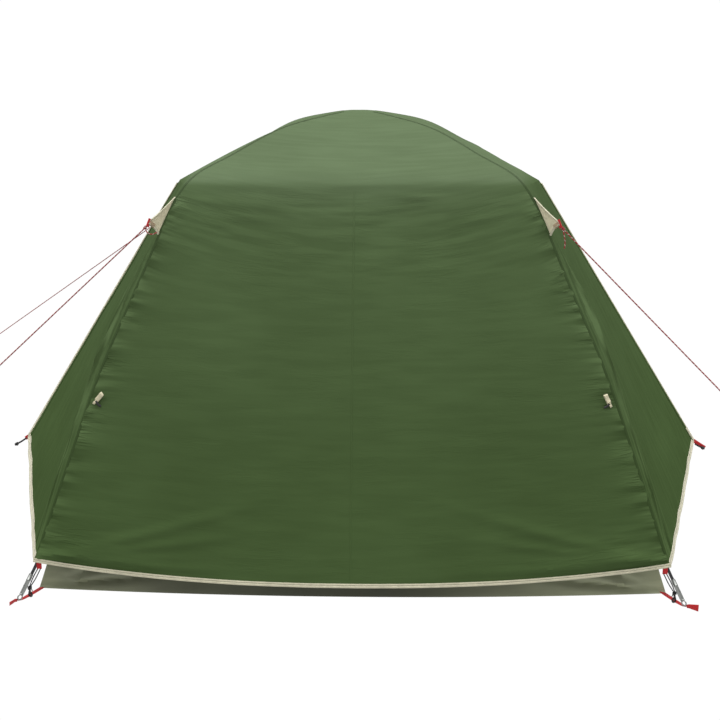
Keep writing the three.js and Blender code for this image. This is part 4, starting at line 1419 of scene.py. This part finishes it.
# ---------------------------------------------------------------- vestibule tips and zip sliders
def rounded_outline(width, height, power=5.0, sides=40):
    """A rectangle with rounded corners, from round at power 2 to sharp at high powers."""
    angle = (np.arange(sides) + 0.5) * 2 * math.pi / sides
    round_one = np.stack((np.cos(angle), np.sin(angle)), axis=1)
    return np.sign(round_one) * np.abs(round_one) ** (2 / power) * (width / 2, height / 2)


def block(outline, hole, levels, origin, x_axis, y_axis):
    """A ring grid of a block with a round hole. A level is a height and the outline's size there."""
    angle = np.arctan2(outline[:, 1], outline[:, 0])
    eye = hole * np.stack((np.cos(angle), np.sin(angle)), axis=1)
    low, high = levels[0][0], levels[-1][0]
    rings = [(eye, low), *[(outline * size, height) for height, size in levels], (eye, high), (eye, low)]
    local = np.array([np.column_stack((ring, np.full(len(ring), height))) for ring, height in rings])
    x_axis = unit(x_axis)
    y_axis = unit(y_axis - np.dot(y_axis, x_axis) * x_axis)
    return origin + local @ np.stack((x_axis, y_axis, np.cross(x_axis, y_axis)))


def plate_levels(thickness):
    """The levels of a plate with its edges rounded off."""
    shares = ((-0.5, 0.88), (-0.25, 1.0), (0.25, 1.0), (0.5, 0.88))
    return [(thickness * share, size) for share, size in shares]


SLIDER = {"length": 0.030, "width": 0.009, "thickness": 0.003, "rise": 0.070, "inwards": 0.005, "side": 0.014}
SLIDER_BODY = {"length": 0.014, "width": 0.009, "thickness": 0.004, "up": 0.007, "outwards": 0.003}
TAG_EYE = (0.009, 0.0018)                # how far from the tag's middle its eye is, and the eye's radius
TIP_CORD = {"radius": 0.0036, "knot": 0.0025}      # the cord's radius, and where a knot pulls it tight
# How far a tip's webbing tab and its shock cord reach, and how much lower the cord starts.
TIP_REACH = {"left": (0.010, 0.050, 0.0), "right": (0.052, 0.036, 0.008)}


def zip_slider(side):
    """The slider and its tag, on the inner face of the half of the zip that stays put."""
    up_ridge = unit(brow_end(side) - tip(side))
    over_gore = diagonal(f"back_{side}", LEG_CREASE[-1]) - tip(side)
    over_gore = unit(over_gore - np.dot(over_gore, up_ridge) * up_ridge)
    inwards = np.cross(over_gore, up_ridge) * -SIDES[side]
    origin = tip(side) + up_ridge * SLIDER["rise"] + over_gore * SLIDER["side"] + inwards * SLIDER["inwards"]
    tag = rounded_outline(SLIDER["length"], SLIDER["width"])
    tag[:, 1] *= 0.62 + 0.38 * smoothstep(tag[:, 0], -0.015, -0.006)
    eye, eye_radius = TAG_EYE
    slider = Surface()
    slider.grid(block(tag + (eye, 0), eye_radius, plate_levels(SLIDER["thickness"]),
                      origin - up_ridge * eye, up_ridge, over_gore), ring=True)
    body = rounded_outline(SLIDER_BODY["length"], SLIDER_BODY["width"], 3.0)
    middle = origin + up_ridge * SLIDER_BODY["up"] - inwards * SLIDER_BODY["outwards"]
    slider.grid(block(body, 0.0, plate_levels(SLIDER_BODY["thickness"]),
                      middle, up_ridge, over_gore), ring=True)
    slider = slider.build(f"slider_{side}", PLASTIC, f"zip_slider_{side}", sharp=40)
    part(slider, "black_plastic", f"zip_slider_{side}")


def vestibule_tip(side):
    """The tip's webbing tab, and a shock cord with a knot."""
    outwards = unit((SIDES[side] * 0.054, 0, -0.034))
    tab_reach, cord_reach, drop = TIP_REACH[side]
    start = tip(side) + outwards * 0.003
    tab_line = [start - outwards * 0.010, start, start + outwards * tab_reach * 0.5 - UP * 0.0006,
                start + outwards * tab_reach]
    tab = strap(f"tip_tab_{side}", spline(tab_line, 14), 0.015, 0.0026, STRAP, up=(0, 1, 0))
    part(tab, "red_webbing", f"tip_loop_{side}")
    root = start + outwards * 0.004 - UP * (0.002 + drop)
    end = root + unit(outwards + UP * drop * 12) * cord_reach
    shock = spline([root, lerp(root, end, 0.5) - UP * 0.0008, end], 24)
    part(tube(f"tip_cord_{side}", shock, TIP_CORD["radius"], ELASTIC, sides=10), "black_elastic")
    part(knot(f"tip_knot_{side}", end, outwards, TIP_CORD["knot"], ELASTIC), "black_elastic")


for side in SIDES:
    zip_slider(side)
    vestibule_tip(side)


# ---------------------------------------------------------------- pegs and line runners
# A peg's hook from the ground up, as (outwards, height).
PEG_SIDE = [(0, 0), (0, 0.005), (0.005, 0.024), (0.009, 0.040), (0.016, 0.050), (0.026, 0.050),
            (0.031, 0.042), (0.031, 0.034)]
PEG_RADIUS = 0.0026
PEG_LOOP = (0.0085, 0.0056)              # half the length and half the width of the line's loop round a peg
RUNNER = {"width": 0.015, "height": 0.010, "hole": 0.003}
RUNNER_LEVELS = [(-0.0180, 0.80), (-0.0168, 1.0), (-0.0125, 1.0), (-0.0095, 0.84), (0.0, 0.76),
                 (0.0095, 0.84), (0.0125, 1.0), (0.0168, 1.0), (0.0180, 0.80)]
for corner in CORNERS:
    start, finish, line, path = GUYS[corner]
    out = np.array((*unit(PEGS[corner]), 0.0))
    base = np.array((*PEGS[corner], 0.0))
    hook = spline([base + out * along + UP * height for along, height in PEG_SIDE], 60)
    peg = part(tube(f"peg_rod_{corner}", hook, PEG_RADIUS, STEEL), "steel", f"peg_{corner}")
    angle = np.linspace(0, 2 * math.pi, 33)[:, None]
    half_length, half_width = PEG_LOOP
    loop = finish + out * half_length * (1 - np.cos(angle)) + np.cross(out, UP) * half_width * np.sin(angle)
    loop = part(tube(f"peg_loop_{corner}", loop, GUY_DIAMETER / 2, GUY_CORD, sides=10), "guy_cord")
    way = unit(finish - start)
    last_knot = knot(f"peg_knot_{corner}", finish - way * 0.008, way, GUY_DIAMETER / 2, GUY_CORD)
    part(last_knot, "guy_cord")

    across = np.array((way[1], -way[0], 0.0))
    runner = block(rounded_outline(RUNNER["width"], RUNNER["height"], 4.0), RUNNER["hole"], RUNNER_LEVELS,
                   lerp(start, finish, TENSIONER_PLACE), across, np.cross(way, across))
    runner = Surface().grid(runner, ring=True)
    runner = runner.build(f"line_runner_{corner}", PLASTIC, f"tensioner_{corner}", sharp=40)
    part(runner, "black_plastic", f"tensioner_{corner}")
    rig.cord(line, exit=start, length=float(np.linalg.norm(finish - start)), diameter=GUY_DIAMETER,
            far_end="object", stiffness="limp", lay="taut", path=path,
            with_pieces=[runner, peg, loop, last_knot, bpy.data.objects[f"guy_tail_{corner}"]])


# ---------------------------------------------------------------- inner tent
INNER_FOOT = (0.951, 1.125, 0.111)
INNER_SHOULDER = (0.5525, 0.6849, 1.1325)
INNER_APEX = 1.378
DOORWAY = {"half_width": 0.560, "sill": 0.060, "height": 0.880}
PER_EDGE = 24
END_WALL_CUT = (1.902, 1.110)            # flat sizes, as cut
SIDE_WALL_CUT = (2.250, 1.094)
INNER_ROOF_CUT = (1.23, 1.51)


def round_outline(corners):
    """Points round a closed outline, with each corner among them."""
    corners = np.asarray(corners, float)
    share = np.arange(PER_EDGE)[:, None] / PER_EDGE
    return np.concatenate([lerp(a, b, share) for a, b in zip(corners, np.roll(corners, -1, axis=0))])


def doorway_outline():
    """The arched doorway as seen on its wall, matched edge for edge with the wall's own outline."""
    half_width, sill = DOORWAY["half_width"], DOORWAY["sill"]
    spring = DOORWAY["height"] - half_width
    bottom = [(-half_width, sill), (half_width, sill)]
    angle = np.linspace(0, math.pi, 49)
    arch = np.stack((half_width * np.cos(angle), spring + half_width * np.sin(angle)), axis=1)
    parts = [bottom, [bottom[1], *arch[:13]], arch[12:37], [*arch[36:], bottom[0]]]
    return np.concatenate([resample(edge, PER_EDGE + 1)[:-1] for edge in parts])


def slack(grid, depth, seed):
    """Lets a hung panel go slack between its edges, with soft folds."""
    rows = np.sin(math.pi * np.linspace(0, 1, len(grid)))[:, None]
    folds = 1 + 0.8 * field(grid, 0.16, seed) + 0.3 * field(grid, 0.06, seed + 1)
    inwards = outward(grid) if grid[..., 2].min() > 1.0 else outward(grid, (0, 0, 0.6))
    return grid - inwards * (depth * rows * folds)[..., None]


def hung(name, grid, flat, node, ring=True):
    """A panel of the inner tent, as a sheet of its flat size."""
    surface = Surface().grid(grid, ring=ring)
    panel = part(surface.build(name, INNER, sharp=40), "inner_beige", node)
    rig.sheet(panel, flat=flat, held="hung", rests_on=["leg_pole_front_left"], area=surface.area)


ground_corner, shoulder = np.array(INNER_FOOT), np.array(INNER_SHOULDER)
wall_rows = np.linspace(0, 1, 41)[:, None, None]
for end, sign in ENDS.items():
    low, high = (np.linspace(point * (-1, sign, 1), point * (1, sign, 1), 61)
                 for point in (ground_corner, shoulder))
    grid = slack(lerp(low[None], high[None], wall_rows), 0.012, 50 + sign)
    hung(f"inner_cloth_{end}", grid, END_WALL_CUT, f"inner_wall_{end}", ring=False)
for side, sign in SIDES.items():
    base = ground_corner * (sign, 0, 1)
    up_wall = shoulder * (sign, 0, 1) - base
    tall = float(np.linalg.norm(up_wall))
    foot_y, shoulder_y = ground_corner[1], shoulder[1]
    rim = round_outline([(-foot_y, 0), (foot_y, 0), (shoulder_y, tall), (-shoulder_y, tall)])
    flat_grid = lerp(doorway_outline()[None], rim[None], np.linspace(0, 1, 19)[:, None, None])
    grid = base + flat_grid[..., :1] * np.array((0, 1.0, 0)) + flat_grid[..., 1:] * up_wall / tall
    grid = slack(grid, 0.008, 60 + sign)
    hung(f"inner_cloth_{side}", grid, SIDE_WALL_CUT, f"inner_wall_{side}")
    closed = np.concatenate((grid, grid[:, :1]), axis=1)
    away = outward(closed)[0]
    binding = edge_tape(f"doorway_tape_{side}", closed[0], closed[1] - closed[0], away, PLAIN_TAPE)
    part(binding, "tape_beige")
rim = round_outline([shoulder * (x, y, 1) for x, y in ((-1, -1), (1, -1), (1, 1), (-1, 1))])
roof_grid = lerp(rim[None], (0, 0, INNER_APEX), np.linspace(0, 1, 37)[:, None, None])
hung("inner_cloth_roof", slack(roof_grid, 0.010, 70), INNER_ROOF_CUT, "inner_roof")


# ---------------------------------------------------------------- the fly and tray, as sheets of known size
FLY_CUT = (3.30, 3.90)                   # the sewn roof, walls and back gores, laid out
DOOR_CUT = (1.30, 1.52)
TRAY_CUT = (2.18, 2.53)
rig.sheet(fly, flat=FLY_CUT, held="stretched", rests_on=["roof_pole_1"], area=fly_surface.area)
for door, door_area in doors.values():
    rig.sheet(door, flat=DOOR_CUT, held="stretched", rests_on=["fly"], area=door_area)
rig.sheet(tray_piece, flat=TRAY_CUT, held="laid")


# ---------------------------------------------------------------- floor and light
# The sky is dim at the horizon and bright overhead. What the camera sees behind the tent is plain white.
SKY = {"lobe": (0.0, 0.0, 1.0), "from": 0.55, "low": 0.36, "high": 4.2, "backdrop": 1.02}
FLOOR_REACH = 40.0


def studio_floor():
    """An evenly lit white floor that takes no shadow, as in the photograph."""
    mesh = bpy.data.meshes.new("studio_floor")
    corners = [(x * FLOOR_REACH, y * FLOOR_REACH, -0.001) for x, y in ((-1, -1), (1, -1), (1, 1), (-1, 1))]
    mesh.from_pydata(corners, [], [(0, 1, 2, 3)])
    finish = Finish("studio floor", roughness=0.9, Specular_IOR_Level=0.0)
    finish.shader.inputs["Base Color"].default_value = (0, 0, 0, 1)
    finish.shader.inputs["Emission Color"].default_value = (1, 1, 1, 1)
    finish.shader.inputs["Emission Strength"].default_value = SKY["backdrop"]
    mesh.materials.append(finish.done())
    floor = bpy.data.objects.new("studio_floor", mesh)
    bpy.context.scene.collection.objects.link(floor)
    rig.stage(floor)


def studio_sky():
    """Soft light from above, fading towards the horizon."""
    world = bpy.data.worlds.new("studio")
    bpy.context.scene.world = world
    world.use_nodes = True
    nodes, links = world.node_tree.nodes, world.node_tree.links
    direction = nodes.new("ShaderNodeTexCoord")
    lobe = nodes.new("ShaderNodeVectorMath")
    lobe.operation = "DOT_PRODUCT"
    lobe.inputs[1].default_value = SKY["lobe"]
    links.new(direction.outputs["Generated"], lobe.inputs[0])
    lift = nodes.new("ShaderNodeMapRange")
    lift.interpolation_type = "SMOOTHSTEP"
    limits = {"From Min": SKY["from"], "From Max": 1.0, "To Min": SKY["low"], "To Max": SKY["high"]}
    for socket, value in limits.items():
        lift.inputs[socket].default_value = value
    links.new(lobe.outputs["Value"], lift.inputs["Value"])
    seen = nodes.new("ShaderNodeLightPath")
    choice = nodes.new("ShaderNodeMix")
    choice.inputs["B"].default_value = SKY["backdrop"]
    links.new(seen.outputs["Is Camera Ray"], choice.inputs["Factor"])
    links.new(lift.outputs["Result"], choice.inputs["A"])
    nodes["Background"].inputs["Color"].default_value = (1, 1, 1, 1)
    links.new(choice.outputs["Result"], nodes["Background"].inputs["Strength"])


studio_floor()
studio_sky()
bpy.context.scene.view_settings.view_transform = "Standard"

# ---------------------------------------------------------------- sizes for the record, and the end
model_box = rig.bounds()
with open("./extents.json", "w") as out:
    json.dump({"cad": [list(p) for p in cad_box], "model": [list(p) for p in model_box]}, out)
